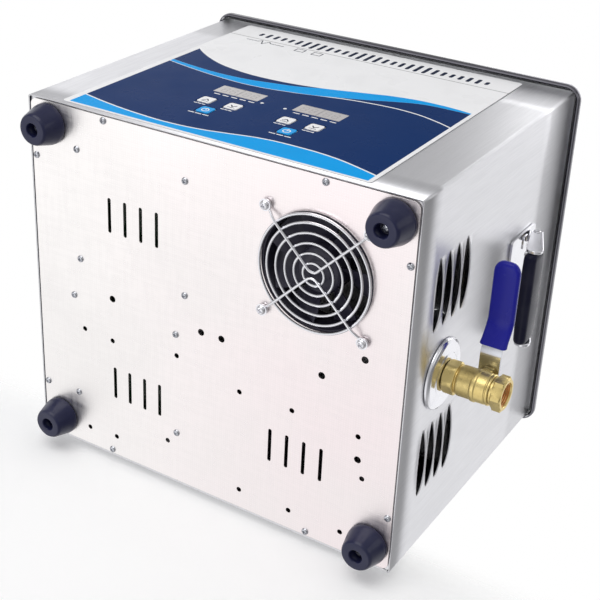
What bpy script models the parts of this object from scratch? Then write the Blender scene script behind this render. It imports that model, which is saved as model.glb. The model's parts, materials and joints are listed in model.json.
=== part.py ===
"""Ultrasonic cleaner, a 15 litre bench model, as separate pieces that fit and move.

Origin: centre of the bottom plate's outer face. +X is the machine's right side, where the
drain valve is, -Y is the control panel and +Z is up. Every size below is in millimetres.
"""

import math

import bmesh
import bpy
from mathutils import Matrix

MM = 0.001

# Clearances
GAP = 0.3
SHEET_EDGE_GAP = 1.0

# Housing: a folded sheet round the front and both sides, a back panel and a bottom plate
BODY_WIDTH = 360.0
BODY_DEPTH = 324.0
BODY_HEIGHT = 280.0
SHEET = 1.2
BODY_CORNER = 2.5
FLANGE = 14.0
PLATE_CORNER = 6.0

# Tank, welded under its own folded rim
TANK_WIDTH = 330.0
TANK_DEPTH = 300.0
TANK_INSIDE = 150.0
TANK_CORNER = 20.0
TANK_FILLET = 10.0
TANK_SHEET = 1.0
RIM_OVERHANG = 6.5
RIM_HEIGHT = 8.0
RIM_CORNER = 14.0
RIM_BEND = 3.0
DRAIN_HOLE_RADIUS = 9.0

# Louvres in both sides: distance of each group's centre from the housing's centre
LOUVRE_LENGTH = 62.0
LOUVRE_REACH = 4.5
LOUVRE_RISE = 10.0
LOUVRE_PITCH = 15.5
LOUVRE_FIRST_HEIGHT = 38.0
LOUVRES_IN_GROUP = 4
LOUVRE_GROUPS = (-72.0, 78.0)
LOUVRE_LOWER_CUT = 1.0

# Bottom plate: a band free of holes across its middle, ventilation slots and holes
DATUM_BAND = (-2.0, 11.0)
SLOT_WIDTH = 3.2
SLOT_LENGTH = 31.0
SLOT_PITCH = 16.0
SLOTS_IN_GROUP = 4
SLOT_GROUPS = ((-74.0, -75.0), (-72.0, 84.5), (87.5, 85.5))
VENT_HOLE_RADIUS = 3.0
VENT_HOLES = ((-97, 2), (-5.5, 3.5), (14.5, 3), (108, 3.5), (144, -23), (144, 67))
SMALL_HOLE_RADIUS = 2.2
SMALL_HOLES = (
    (-30, 34), (-128.5, 41), (-98, 43), (33, 46), (83, 45), (143, 46), (149, 83),
    (-39.5, 122), (-126.5, 142), (-96, 140.5), (35, 142), (84, 142), (133, 142),
)

# Feet
FOOT_ACROSS = 318.0
FOOT_ALONG = 282.0
FOOT_RADIUS = 17.6
FOOT_END_RADIUS = 13.0
FOOT_HEIGHT = 21.0
FOOT_RECESS_RADIUS = 5.5
FOOT_RECESS_DEPTH = 9.0
FOOT_SCREW_RADIUS = 2.0
FOOT_SCREW_HEAD = 4.3
FOOT_SCREW_HEAD_HIGH = 3.0
FOOT_SCREW_BITE = 5.0
FOOT_SHOULDER = 4.0
FOOT_EDGE = 1.0

# Fan and its wire guard. The frame, bore and guard take their sizes from the screws' pitch
FAN_X = 97.5
FAN_Y = -82.0
FAN_SCREW_PITCH = 88.5
FAN_SCREW_EDGE = 5.75
FAN_DEPTH = 25.0
FAN_SCREW_TO_OPENING = 14.08
FAN_OPENING_OVER_BORE = 1.5
FAN_CORNER = 6.0
FAN_HUB = 19.0
FAN_STRUTS = 3
FAN_STRUT_THICK = 3.0
FAN_STRUT_WIDTH = 5.0
FAN_STRUT_ROOT = 1.5
FAN_BLADES = 7
FAN_BLADE_WIDTH = 19.0
FAN_BLADE_THICK = 1.6
FAN_BLADE_PITCH = 38.0
FAN_TIP_GAP = 1.5
FAN_SHAFT = 2.0
FAN_SCREW_RADIUS = 1.7
GUARD_FIRST_RING = 9.0
GUARD_RING_PITCH = 8.0
GUARD_WIRE = 1.3
GUARD_STANDOFF = 3.7
GUARD_EYE = 3.3
GUARD_BEND = 6.0

# Drain: escutcheon, ball valve and the pipe from the tank
DRAIN_Y = 5.0
DRAIN_Z = 60.0
PIPE_RADIUS = 9.5
PIPE_BORE = 7.0
PIPE_DROP_X = 140.0
LOCKNUT_OVER_PIPE = 13.0
LOCKNUT_THICK = 6.0
PIPE_BEND = 16.0
ESCUTCHEON_RADIUS = 30.0
ESCUTCHEON_THICK = 5.0
VALVE_LENGTH = 55.0
VALVE_HEX_WALL = 3.0
VALVE_HEX_LENGTH = 10.0
VALVE_BARREL = 12.5
VALVE_BARREL_WALL = 2.8
VALVE_BARREL_END = 44.0
VALVE_STEM_AT = 32.0
VALVE_BOSS_RADIUS = 8.5
VALVE_BOSS_TOP = 13.2
BALL_RADIUS = 8.4
BALL_SEAT_GAP = 0.6
BALL_BORE = 5.5
OUTLET_RADIUS = 8.6
STEM_RADIUS = 3.2
PACKING_NUT = 14.0
PACKING_NUT_THICK = 3.0
LEVER_THICK = 2.5
LEVER_WIDTH = 17.0
LEVER_RISE = 11.0
LEVER_REACH = 91.0
LEVER_RISE_FROM = 18.0
LEVER_RISE_TO = 36.0
SLEEVE_START = 26.0
SLEEVE_WALL = 2.0
LEVER_NUT = 11.0
LEVER_NUT_THICK = 4.0

# Carrying handles, one on each side
HANDLE_Y = -15.0
HANDLE_BELOW_RIM = 79.0
HANDLE_PLATE_LONG = 96.0
HANDLE_PLATE_HIGH = 50.0
HANDLE_PLATE_THICK = 2.0
HANDLE_PIVOT_UP = 14.0
HANDLE_PIVOT_OUT = 8.0
HANDLE_EAR_RADIUS = 5.0
HANDLE_EAR_THICK = 6.0
HANDLE_PIN_RADIUS = 2.2
HANDLE_ARM_THICK = 3.0
HANDLE_ARM_AT = 43.5
HANDLE_GRIP_HIGH = 26.0
HANDLE_GRIP_THICK = 12.0
HANDLE_GRIP_CORNER = 5.6
HANDLE_GRIP_OUT = 19.0
HANDLE_GRIP_DOWN = 32.0
HANDLE_ROD_RADIUS = 3.0
HANDLE_PLATE_CORNER = 9.0

# Front panel: film overlay, and displays and keys placed by X and by how far they are below
# the tank's floor, because the board behind them has to clear the tank
OVERLAY_LEFT = -147.0
OVERLAY_RIGHT = 136.0
OVERLAY_BOTTOM = 3.8
OVERLAY_BELOW_RIM = 3.0
OVERLAY_THICK = 0.5
OVERLAY_CORNER = 3.0
DISPLAY_SIZE = (43.5, 17.5)
DISPLAYS = {"display_window_left": (-42.2, 32.8), "display_window_right": (34.6, 32.8)}
KEY_SIZE = (12.0, 12.5)
KEYS = {
    "key_time_up": (-55.0, 63.0),
    "key_time_down": (-29.0, 63.0),
    "key_heat_up": (22.0, 64.0),
    "key_heat_down": (48.0, 64.0),
    "key_timer_start": (-42.0, 83.0),
    "key_heater_start": (35.0, 84.0),
}
KEY_PROUD = 0.2
KEY_FLANGE = 1.6
KEY_FLANGE_THICK = 1.0
KEY_FLANGE_GAP = 0.4
KEY_TRAVEL = 0.4
CONTROL_BOARD = (150.0, 92.0)
CONTROL_BOARD_AT = (-3.0, 58.0)
BOARD_THICK = 1.6
CONTROL_BOARD_BACK = 10.0

# Inside: transducers, heaters, sensor and power electronics
TRANSDUCER_X = 105.0
TRANSDUCER_Y = 65.0
TRANSDUCER_RADIUS = 22.0
TRANSDUCER_LENGTH = 48.0
HEATER_SIZE = (230.0, 80.0)
HEATER_THICK = 2.0
SENSOR_RADIUS = 4.0
SENSOR_LENGTH = 7.0
GENERATOR_BOARDS = {"generator_board_front": (-76.2, -75.2), "generator_board_rear": (-84.5, 61.2)}
GENERATOR_BOARD = (122.0, 112.0)
BOARD_STANDOFF = 8.0

# Mains inlet and switch in the back panel, placed by X and Z
INLET_AT = (120.0, 45.0)
INLET_CUTOUT = (28.0, 22.0)
INLET_FLANGE = (48.0, 27.0)
INLET_DEPTH = 24.0
INLET_SOCKET = (23.0, 16.0)
INLET_SOCKET_DEPTH = 18.0
SWITCH_AT = (66.0, 45.0)
SWITCH_CUTOUT = (13.5, 22.0)
SWITCH_BEZEL = (17.0, 26.0)
SWITCH_DEPTH = 16.0
ROCKER_TILT = 9.0

# Sizes that follow
FAN_SIZE = FAN_SCREW_PITCH + 2 * FAN_SCREW_EDGE
FAN_OPENING = FAN_SCREW_PITCH / math.sqrt(2) - FAN_SCREW_TO_OPENING
FAN_BORE = FAN_OPENING - FAN_OPENING_OVER_BORE
RIM_TOP = BODY_HEIGHT + RIM_HEIGHT
VALVE_HEX = 2 * (PIPE_RADIUS + VALVE_HEX_WALL)
WALL_TOP = RIM_TOP - TANK_SHEET - GAP
TANK_FLOOR = RIM_TOP - TANK_INSIDE
TANK_UNDER = TANK_FLOOR - TANK_SHEET
HANDLE_Z = BODY_HEIGHT - HANDLE_BELOW_RIM
OVERLAY_TOP = BODY_HEIGHT - OVERLAY_BELOW_RIM
SIDE = BODY_WIDTH / 2
FRONT = -BODY_DEPTH / 2
BACK = BODY_DEPTH / 2
INNER_SIDE = SIDE - SHEET
INNER_FRONT = FRONT + SHEET
FLANGE_LOW = SHEET + GAP + 0.1
FLANGE_HIGH = FLANGE_LOW + SHEET
PLATE_WIDTH = BODY_WIDTH - 2 * (SHEET + SHEET_EDGE_GAP)
PLATE_DEPTH = BODY_DEPTH - 2 * (SHEET + SHEET_EDGE_GAP)
OVERLAY_FACE = FRONT - GAP - OVERLAY_THICK
STEM_X = SIDE + VALVE_STEM_AT
VALVE_START = SIDE + GAP + ESCUTCHEON_THICK + GAP
LEVER_Z = DRAIN_Z + VALVE_BOSS_TOP + GAP + PACKING_NUT_THICK + GAP + LEVER_THICK / 2
GRIP_LENGTH = 2 * (HANDLE_ARM_AT - HANDLE_ARM_THICK / 2 - GAP)
ARM_LENGTH = math.hypot(HANDLE_GRIP_OUT - HANDLE_PIVOT_OUT, HANDLE_GRIP_DOWN)

ALONG = {
    "X": Matrix.Rotation(math.pi / 2, 4, "Y"),
    "Y": Matrix.Rotation(-math.pi / 2, 4, "X"),
    "Z": Matrix.Identity(4),
}

# name: colour, metallic, roughness
FINISHES = {
    "brushed_steel": ((0.62, 0.62, 0.63), 1.0, 0.3),
    "chrome": ((0.8, 0.8, 0.82), 1.0, 0.08),
    "brass": ((0.78, 0.6, 0.25), 1.0, 0.25),
    "zinc": ((0.68, 0.68, 0.7), 1.0, 0.25),
    "foot_rubber": ((0.02, 0.022, 0.05), 0.0, 0.5),
    "black_plastic": ((0.015, 0.015, 0.03), 0.0, 0.35),
    "blue_vinyl": ((0.02, 0.02, 0.28), 0.0, 0.25),
    "panel_film": ((0.0, 0.03, 0.13), 0.0, 0.3),
    "display_lens": ((0.42, 0.4, 0.4), 0.0, 0.2),
    "white_key": ((0.85, 0.86, 0.88), 0.0, 0.35),
    "blue_key": ((0.02, 0.3, 0.75), 0.0, 0.35),
    "circuit_board": ((0.02, 0.2, 0.07), 0.0, 0.5),
    "ceramic_stack": ((0.5, 0.5, 0.48), 0.6, 0.4),
    "silicone": ((0.65, 0.18, 0.06), 0.0, 0.6),
}


def collection(name):
    made = bpy.data.collections.new(name)
    bpy.context.scene.collection.children.link(made)
    return made


def finish(name):
    """The material of that name, made at its first use."""
    if name in bpy.data.materials:
        return bpy.data.materials[name]
    colour, metallic, roughness = FINISHES[name]
    material = bpy.data.materials.new(name)
    material.use_nodes = True
    shader = material.node_tree.nodes["Principled BSDF"]
    shader.inputs["Base Color"].default_value = (*colour, 1)
    shader.inputs["Metallic"].default_value = metallic
    shader.inputs["Roughness"].default_value = roughness
    return material


def metres(values):
    return [value * MM for value in values]


def add_box(bm, size, at=(0, 0, 0), radius=0.0, along="Z", steps=3):
    """A box about a point, with the four edges along one axis rounded."""
    matrix = Matrix.Translation(metres(at)) @ Matrix.Diagonal((*metres(size), 1))
    corners = bmesh.ops.create_cube(bm, size=1, matrix=matrix)["verts"]
    if radius:
        axis = "XYZ".index(along)
        edges = {edge for corner in corners for edge in corner.link_edges}
        edges = [e for e in edges if abs((e.verts[1].co - e.verts[0].co).normalized()[axis]) > 0.9]
        bmesh.ops.bevel(
            bm, geom=edges, offset=radius * MM, segments=steps, profile=0.5, affect="EDGES"
        )


def add_rod(bm, radius, length, at=(0, 0, 0), along="Z", steps=16, end_radius=None):
    """A cylinder or a cone about its middle point."""
    end = radius if end_radius is None else end_radius
    bmesh.ops.create_cone(
        bm, cap_ends=True, segments=steps, radius1=radius * MM, radius2=end * MM,
        depth=length * MM, matrix=Matrix.Translation(metres(at)) @ ALONG[along],
    )


def add_hex(bm, across_flats, length, at=(0, 0, 0), along="Z"):
    add_rod(bm, across_flats / math.sqrt(3), length, at, along, steps=6)


def add_run(bm, points, radius, closed=False, resolution=1):
    """A round wire or pipe through the points."""
    curve = bpy.data.curves.new("run", "CURVE")
    curve.dimensions = "3D"
    curve.bevel_depth = radius * MM
    curve.bevel_resolution = resolution
    curve.use_fill_caps = not closed
    spline = curve.splines.new("POLY")
    spline.points.add(len(points) - 1)
    spline.use_cyclic_u = closed
    for knot, point in zip(spline.points, points):
        knot.co = (*metres(point), 1)
    guide = bpy.data.objects.new("run", curve)
    CUTTERS.objects.link(guide)
    graph = bpy.context.evaluated_depsgraph_get()
    mesh = bpy.data.meshes.new_from_object(guide.evaluated_get(graph))
    bpy.data.objects.remove(guide)
    bpy.data.curves.remove(curve)
    bm.from_mesh(mesh)
    bpy.data.meshes.remove(mesh)
    bmesh.ops.remove_doubles(bm, verts=bm.verts, dist=MM / 1000)
    bmesh.ops.recalc_face_normals(bm, faces=bm.faces)


def new_object(name, bm, group, parent):
    mesh = bpy.data.meshes.new(name)
    bm.to_mesh(mesh)
    bm.free()
    made = bpy.data.objects.new(name, mesh)
    group.objects.link(made)
    made.parent = parent
    return made


def piece(name, bm, look, at=(0, 0, 0), parent=None):
    """One named solid, at a place in its parent's frame."""
    made = new_object(name, bm, PARTS, parent)
    made.location = metres(at)
    made.data.materials.append(finish(look))
    made.data.shade_smooth()
    made.data.set_sharp_from_angle(angle=math.radians(35))
    return made


def turned(name, profile, look, at=(0, 0, 0), along="Z", steps=20, parent=None, ring=False):
    """A turned solid. The profile is (radius, height) pairs that run down its outer side."""
    bm = bmesh.new()
    knots = [bm.verts.new((radius * MM, 0, height * MM)) for radius, height in profile]
    for first, second in zip(knots, knots[1:]):
        bm.edges.new((first, second))
    if ring:
        bm.edges.new((knots[-1], knots[0]))
    made = piece(name, bm, look, at, parent)
    made.rotation_euler = ALONG[along].to_euler()
    screw = made.modifiers.new("turn", "SCREW")
    screw.axis = "Z"
    screw.steps = steps
    screw.render_steps = steps
    screw.use_merge_vertices = True
    screw.merge_threshold = MM / 100
    screw.use_smooth_shade = True
    return made


def helper(name, bm, parent):
    made = new_object(name, bm, CUTTERS, parent)
    made.hide_render = True
    made.display_type = "WIRE"
    return made


def change(target, operation, bm, name):
    """Unites a shape with a piece, or cuts it out. The shape is in the piece's own frame."""
    tool = helper(f"{target.name}_{name}", bm, target)
    modifier = target.modifiers.new(name, "BOOLEAN")
    modifier.operation = operation
    modifier.object = tool
    return tool


def unite(target, bm, name):
    return change(target, "UNION", bm, name)


def cut(target, bm, name):
    return change(target, "DIFFERENCE", bm, name)


def rounded_outline(width, depth, radius, steps):
    """Corner points of a rounded rectangle, anticlockwise from +X."""
    quarter = math.pi / 2
    points = []
    for turn, (sx, sy) in enumerate(((1, 1), (-1, 1), (-1, -1), (1, -1))):
        for step in range(steps + 1):
            angle = quarter * (turn + step / steps)
            x = sx * (width / 2 - radius) + radius * math.cos(angle)
            y = sy * (depth / 2 - radius) + radius * math.sin(angle)
            points.append((x, y))
    return points


def arc(centre, radius, start, end, steps):
    """Points on an arc in a plane, with its angles in degrees."""
    angles = [math.radians(start + (end - start) * step / steps) for step in range(steps + 1)]
    return [(centre[0] + radius * math.cos(a), centre[1] + radius * math.sin(a)) for a in angles]


def add_louvre(bm, side, at, reach, half_length, rise, floor, outside_only):
    """Half of an egg shape that stands out of a side wall, flat along its lower edge."""
    shape = bmesh.new()
    bmesh.ops.create_uvsphere(shape, u_segments=8, v_segments=6, radius=1)
    bmesh.ops.scale(shape, vec=metres((reach, half_length, rise)), verts=shape.verts)
    planes = [((0, 0, floor * MM), (0, 0, -1))]
    if outside_only:
        planes.append(((0, 0, 0), (-side, 0, 0)))
    for point, normal in planes:
        everything = shape.verts[:] + shape.edges[:] + shape.faces[:]
        bmesh.ops.bisect_plane(
            shape, geom=everything, dist=MM / 1000, plane_co=point, plane_no=normal,
            clear_outer=True,
        )
        bmesh.ops.holes_fill(shape, edges=shape.edges[:])
    bmesh.ops.translate(shape, vec=metres(at), verts=shape.verts)
    bmesh.ops.recalc_face_normals(shape, faces=shape.faces)
    mesh = bpy.data.meshes.new("louvre")
    shape.to_mesh(mesh)
    shape.free()
    bm.from_mesh(mesh)
    bpy.data.meshes.remove(mesh)


def add_louvres(bm, wall, outside_only):
    """All the louvres of both sides, as their outer skins or as the hollows inside them."""
    floor = 0.0 if outside_only else -LOUVRE_LOWER_CUT
    for side in (-1, 1):
        for group in LOUVRE_GROUPS:
            for number in range(LOUVRES_IN_GROUP):
                height = LOUVRE_FIRST_HEIGHT + number * LOUVRE_PITCH
                at = (side * (SIDE - SHEET / 2), group, height)
                reach = LOUVRE_REACH + SHEET / 2 - wall
                half_length = LOUVRE_LENGTH / 2 - wall
                rise = LOUVRE_RISE - wall
                add_louvre(bm, side, at, reach, half_length, rise, floor, outside_only)


def front_openings():
    """The front sheet's openings for the displays and the keys, through sheet and film."""
    bm = bmesh.new()
    for x, below in DISPLAYS.values():
        size = (DISPLAY_SIZE[0] + 2 * GAP, 6 * SHEET, DISPLAY_SIZE[1] + 2 * GAP)
        add_box(bm, size, (x, FRONT, TANK_FLOOR - below))
    for x, below in KEYS.values():
        size = (KEY_SIZE[0] + 2 * GAP, 6 * SHEET, KEY_SIZE[1] + 2 * GAP)
        add_box(bm, size, (x, FRONT, TANK_FLOOR - below))
    return bm


def housing():
    """The folded sheet: front and both sides, with flanges for the bottom and the back."""
    bm = bmesh.new()
    size = (BODY_WIDTH, BODY_DEPTH, WALL_TOP)
    add_box(bm, size, (0, 0, WALL_TOP / 2), BODY_CORNER)
    open_faces = [f for f in bm.faces if abs(f.normal.z) > 0.9 or f.normal.y > 0.99]
    bmesh.ops.delete(bm, geom=open_faces, context="FACES")
    wrap = piece("housing_wrap", bm, "brushed_steel")
    sheet = wrap.modifiers.new("sheet", "SOLIDIFY")
    sheet.thickness = SHEET * MM
    sheet.offset = -1

    bm = bmesh.new()
    middle = (FLANGE_LOW + FLANGE_HIGH) / 2
    rear_flange_back = BACK - SHEET - GAP
    add_box(
        bm, (BODY_WIDTH - SHEET, rear_flange_back - FRONT - SHEET / 2, SHEET),
        (0, (rear_flange_back + FRONT + SHEET / 2) / 2, middle),
    )
    rim = unite(wrap, bm, "bottom_flange")
    bm = bmesh.new()
    opening = BODY_DEPTH
    add_box(
        bm, (2 * (INNER_SIDE - FLANGE), opening, 4 * SHEET),
        (0, INNER_FRONT + FLANGE + opening / 2, middle),
    )
    cut(rim, bm, "opening")

    bm = bmesh.new()
    for side in (-1, 1):
        add_box(
            bm, (FLANGE + SHEET / 2, SHEET, WALL_TOP - FLANGE_LOW - SHEET / 2),
            (
                side * (INNER_SIDE + SHEET / 2 - (FLANGE + SHEET / 2) / 2),
                rear_flange_back - SHEET / 2,
                (WALL_TOP + FLANGE_LOW + SHEET / 2) / 2,
            ),
        )
    unite(wrap, bm, "rear_flanges")

    bm = bmesh.new()
    add_louvres(bm, 0.0, True)
    unite(wrap, bm, "louvre_skins")
    bm = bmesh.new()
    add_louvres(bm, SHEET, False)
    cut(wrap, bm, "louvre_hollows")

    bm = front_openings()
    add_rod(bm, PIPE_RADIUS + GAP, 6 * SHEET, (SIDE, DRAIN_Y, DRAIN_Z), "X", 24)
    cut(wrap, bm, "openings")


def back_panel():
    """The back sheet with its bottom flange and the cut-outs for inlet and switch."""
    half = SIDE - BODY_CORNER - SHEET_EDGE_GAP
    low = SHEET_EDGE_GAP
    high = BODY_HEIGHT - SHEET_EDGE_GAP
    bm = bmesh.new()
    add_box(
        bm, (2 * half, SHEET, high - low), (0, BACK - SHEET / 2, (high + low) / 2),
        PLATE_CORNER / 2, "Y",
    )
    panel = piece("back_panel", bm, "brushed_steel")
    bm = bmesh.new()
    reach = FLANGE - SHEET_EDGE_GAP
    add_box(
        bm, (2 * (INNER_SIDE - FLANGE - GAP), reach + SHEET / 2, SHEET),
        (0, BACK - SHEET / 2 - (reach + SHEET / 2) / 2, (FLANGE_LOW + FLANGE_HIGH) / 2),
    )
    unite(panel, bm, "flange")
    bm = bmesh.new()
    for (x, z), size in ((INLET_AT, INLET_CUTOUT), (SWITCH_AT, SWITCH_CUTOUT)):
        add_box(bm, (size[0] + 2 * GAP, 6 * SHEET, size[1] + 2 * GAP), (x, BACK, z))
    cut(panel, bm, "cutouts")


def fan_corners():
    half = FAN_SCREW_PITCH / 2
    return [(FAN_X + sx * half, FAN_Y + sy * half) for sx in (-1, 1) for sy in (-1, 1)]


def foot_centres():
    x = FOOT_ACROSS / 2
    y = FOOT_ALONG / 2
    return {
        "front_left": (-x, -y),
        "front_right": (x, -y),
        "rear_left": (-x, y),
        "rear_right": (x, y),
    }


def bottom_plate():
    bm = bmesh.new()
    add_box(bm, (PLATE_WIDTH, PLATE_DEPTH, SHEET), (0, 0, SHEET / 2), PLATE_CORNER, "Z", 5)
    for x in DATUM_BAND:
        everything = bm.verts[:] + bm.edges[:] + bm.faces[:]
        bmesh.ops.bisect_plane(
            bm, geom=everything, dist=MM / 1000, plane_co=(x * MM, 0, 0), plane_no=(1, 0, 0)
        )
    plate = piece("bottom_plate", bm, "brushed_steel")
    bm = bmesh.new()
    depth = 6 * SHEET
    for x, y in SLOT_GROUPS:
        for number in range(SLOTS_IN_GROUP):
            offset = (number - (SLOTS_IN_GROUP - 1) / 2) * SLOT_PITCH
            size = (SLOT_WIDTH, SLOT_LENGTH, depth)
            add_box(bm, size, (x + offset, y, 0), SLOT_WIDTH / 3, "Z", 1)
    for x, y in VENT_HOLES:
        add_rod(bm, VENT_HOLE_RADIUS, depth, (x, y, 0), steps=8)
    for x, y in SMALL_HOLES:
        add_rod(bm, SMALL_HOLE_RADIUS, depth, (x, y, 0), steps=6)
    for x, y in foot_centres().values():
        add_rod(bm, FOOT_SCREW_RADIUS + GAP, depth, (x, y, 0), steps=8)
    for x, y in fan_corners():
        add_rod(bm, FAN_SCREW_RADIUS + GAP, depth, (x, y, 0), steps=8)
    add_rod(bm, FAN_OPENING, depth, (FAN_X, FAN_Y, 0), steps=40)
    cut(plate, bm, "openings")


def feet():
    neck = FOOT_SCREW_RADIUS + GAP
    shelf = -FOOT_HEIGHT + FOOT_RECESS_DEPTH
    profile = [
        (neck, -GAP),
        (FOOT_RADIUS - FOOT_EDGE, -GAP),
        (FOOT_RADIUS, -GAP - FOOT_EDGE),
        (FOOT_RADIUS, -FOOT_SHOULDER),
        (FOOT_END_RADIUS, -FOOT_HEIGHT + FOOT_EDGE),
        (FOOT_END_RADIUS - FOOT_EDGE, -FOOT_HEIGHT),
        (FOOT_RECESS_RADIUS, -FOOT_HEIGHT),
        (FOOT_RECESS_RADIUS, shelf),
        (neck, shelf),
    ]
    head = shelf - GAP
    screw = [
        (0, SHEET + FOOT_SCREW_BITE),
        (FOOT_SCREW_RADIUS, SHEET + FOOT_SCREW_BITE),
        (FOOT_SCREW_RADIUS, head),
        (FOOT_SCREW_HEAD, head),
        (FOOT_SCREW_HEAD, head - FOOT_SCREW_HEAD_HIGH + 1),
        (FOOT_SCREW_HEAD - 1, head - FOOT_SCREW_HEAD_HIGH),
        (0, head - FOOT_SCREW_HEAD_HIGH),
    ]
    for place, (x, y) in foot_centres().items():
        turned(f"foot_{place}", profile, "foot_rubber", (x, y, 0), steps=16, ring=True)
        turned(f"foot_screw_{place}", screw, "zinc", (x, y, 0), steps=10)


def tank_sections():
    """(width, depth, corner, height) from the floor's edge up the wall and round the rim."""
    sections = []
    for x, z in arc((-TANK_FILLET, TANK_FLOOR + TANK_FILLET), TANK_FILLET, -90, 0, 3):
        sections.append((TANK_WIDTH + 2 * x, TANK_DEPTH + 2 * x, TANK_CORNER + x, z))
    for x, z in arc((RIM_BEND, RIM_TOP - RIM_BEND), RIM_BEND, 180, 90, 2):
        sections.append((TANK_WIDTH + 2 * x, TANK_DEPTH + 2 * x, TANK_CORNER + x, z))
    width = BODY_WIDTH + 2 * RIM_OVERHANG
    depth = BODY_DEPTH + 2 * RIM_OVERHANG
    for x, z in arc((-RIM_BEND, RIM_TOP - RIM_BEND), RIM_BEND, 90, 0, 2):
        sections.append((width + 2 * x, depth + 2 * x, RIM_CORNER + x, z))
    low = BODY_HEIGHT + GAP
    for x, z in arc((-RIM_BEND, low + RIM_BEND), RIM_BEND, 0, -90, 2):
        sections.append((width + 2 * x, depth + 2 * x, RIM_CORNER + x, z))
    wall_gap = 2 * GAP
    sections.append((BODY_WIDTH + 2 * wall_gap, BODY_DEPTH + 2 * wall_gap, BODY_CORNER, low))
    return sections


def tank():
    bm = bmesh.new()
    rings = []
    for width, depth, corner, height in tank_sections():
        outline = rounded_outline(width, depth, corner, 3)
        rings.append([bm.verts.new(metres((x, y, height))) for x, y in outline])
    bm.faces.new(rings[0])
    for low, high in zip(rings, rings[1:]):
        for i, corner in enumerate(low):
            bm.faces.new((low[i - 1], high[i - 1], high[i], corner))
    bmesh.ops.recalc_face_normals(bm, faces=bm.faces)
    floor = min(bm.faces, key=lambda face: face.calc_center_median().z - face.calc_area())
    if floor.normal.z < 0:
        bmesh.ops.reverse_faces(bm, faces=bm.faces)
    tub = piece("tank", bm, "brushed_steel")
    sheet = tub.modifiers.new("sheet", "SOLIDIFY")
    sheet.thickness = TANK_SHEET * MM
    sheet.offset = -1
    bm = bmesh.new()
    add_rod(bm, DRAIN_HOLE_RADIUS, 6 * SHEET, (PIPE_DROP_X, DRAIN_Y, TANK_FLOOR), steps=20)
    cut(tub, bm, "drain")


def fan():
    """Frame with its three struts, and the rotor that turns in it."""
    low = SHEET + GAP
    high = low + FAN_DEPTH
    bm = bmesh.new()
    add_box(bm, (FAN_SIZE, FAN_SIZE, FAN_DEPTH), (0, 0, (low + high) / 2), FAN_CORNER)
    frame = piece("fan_frame", bm, "black_plastic", (FAN_X, FAN_Y, 0))
    bm = bmesh.new()
    add_rod(bm, FAN_BORE, 2 * FAN_DEPTH, (0, 0, low + FAN_DEPTH / 2), steps=32)
    half = FAN_SCREW_PITCH / 2
    for x, y in ((half, half), (-half, half), (half, -half), (-half, -half)):
        add_rod(bm, FAN_SCREW_RADIUS + GAP, 2 * FAN_DEPTH, (x, y, low + FAN_DEPTH / 2), steps=8)
    cut(frame, bm, "bore")
    strut_z = high - FAN_STRUT_THICK / 2
    for number in range(FAN_STRUTS):
        bm = bmesh.new()
        length = FAN_BORE + FAN_STRUT_ROOT
        add_box(bm, (length, FAN_STRUT_WIDTH, FAN_STRUT_THICK), (length / 2, 0, strut_z))
        turn = Matrix.Rotation(math.radians(30 + 360 / FAN_STRUTS * number), 4, "Z")
        bmesh.ops.transform(bm, matrix=turn, verts=bm.verts)
        unite(frame, bm, f"strut_{number}")
    bm = bmesh.new()
    add_rod(bm, FAN_HUB + 1, FAN_STRUT_THICK, (0, 0, strut_z), steps=24)
    unite(frame, bm, "motor_plate")
    bm = bmesh.new()
    add_rod(bm, FAN_SHAFT + GAP, 4 * FAN_STRUT_THICK, (0, 0, strut_z), steps=12)
    cut(frame, bm, "bearing")

    rotor_low = low + 2
    rotor_high = high - FAN_STRUT_THICK - 1.5
    profile = [
        (0, high - 0.5),
        (FAN_SHAFT, high - 0.5),
        (FAN_SHAFT, rotor_high),
        (FAN_HUB, rotor_high),
        (FAN_HUB, rotor_low + 1.5),
        (FAN_HUB - 1.5, rotor_low),
        (0, rotor_low),
    ]
    rotor = turned("fan_rotor", profile, "black_plastic", (FAN_X, FAN_Y, 0), steps=24)
    bm = bmesh.new()
    tip = FAN_BORE - FAN_TIP_GAP
    blade_length = tip - FAN_HUB + 1.5
    for number in range(FAN_BLADES):
        blade = bmesh.new()
        size = (blade_length, FAN_BLADE_WIDTH, FAN_BLADE_THICK)
        add_box(blade, size, (tip - 0.5 - blade_length / 2, 0, 0))
        pitch = Matrix.Rotation(math.radians(FAN_BLADE_PITCH), 4, "X")
        turn = Matrix.Rotation(2 * math.pi * number / FAN_BLADES, 4, "Z")
        middle = Matrix.Translation((0, 0, (rotor_low + rotor_high) / 2 * MM))
        bmesh.ops.transform(blade, matrix=middle @ turn @ pitch, verts=blade.verts)
        mesh = bpy.data.meshes.new("blade")
        blade.to_mesh(mesh)
        blade.free()
        bm.from_mesh(mesh)
        bpy.data.meshes.remove(mesh)
    unite(rotor, bm, "blades")


def circle(radius, height, steps, centre=(0, 0)):
    """Points round a level circle."""
    turn = 2 * math.pi / steps
    return [
        (centre[0] + radius * math.cos(turn * i), centre[1] + radius * math.sin(turn * i), height)
        for i in range(steps)
    ]


def guard_rings():
    """Radii of the round wires, the last of them at the edge of the fan's opening."""
    radii = [GUARD_FIRST_RING]
    while radii[-1] + 1.6 * GUARD_RING_PITCH < FAN_OPENING:
        radii.append(radii[-1] + GUARD_RING_PITCH)
    return [*radii, FAN_OPENING]


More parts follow.
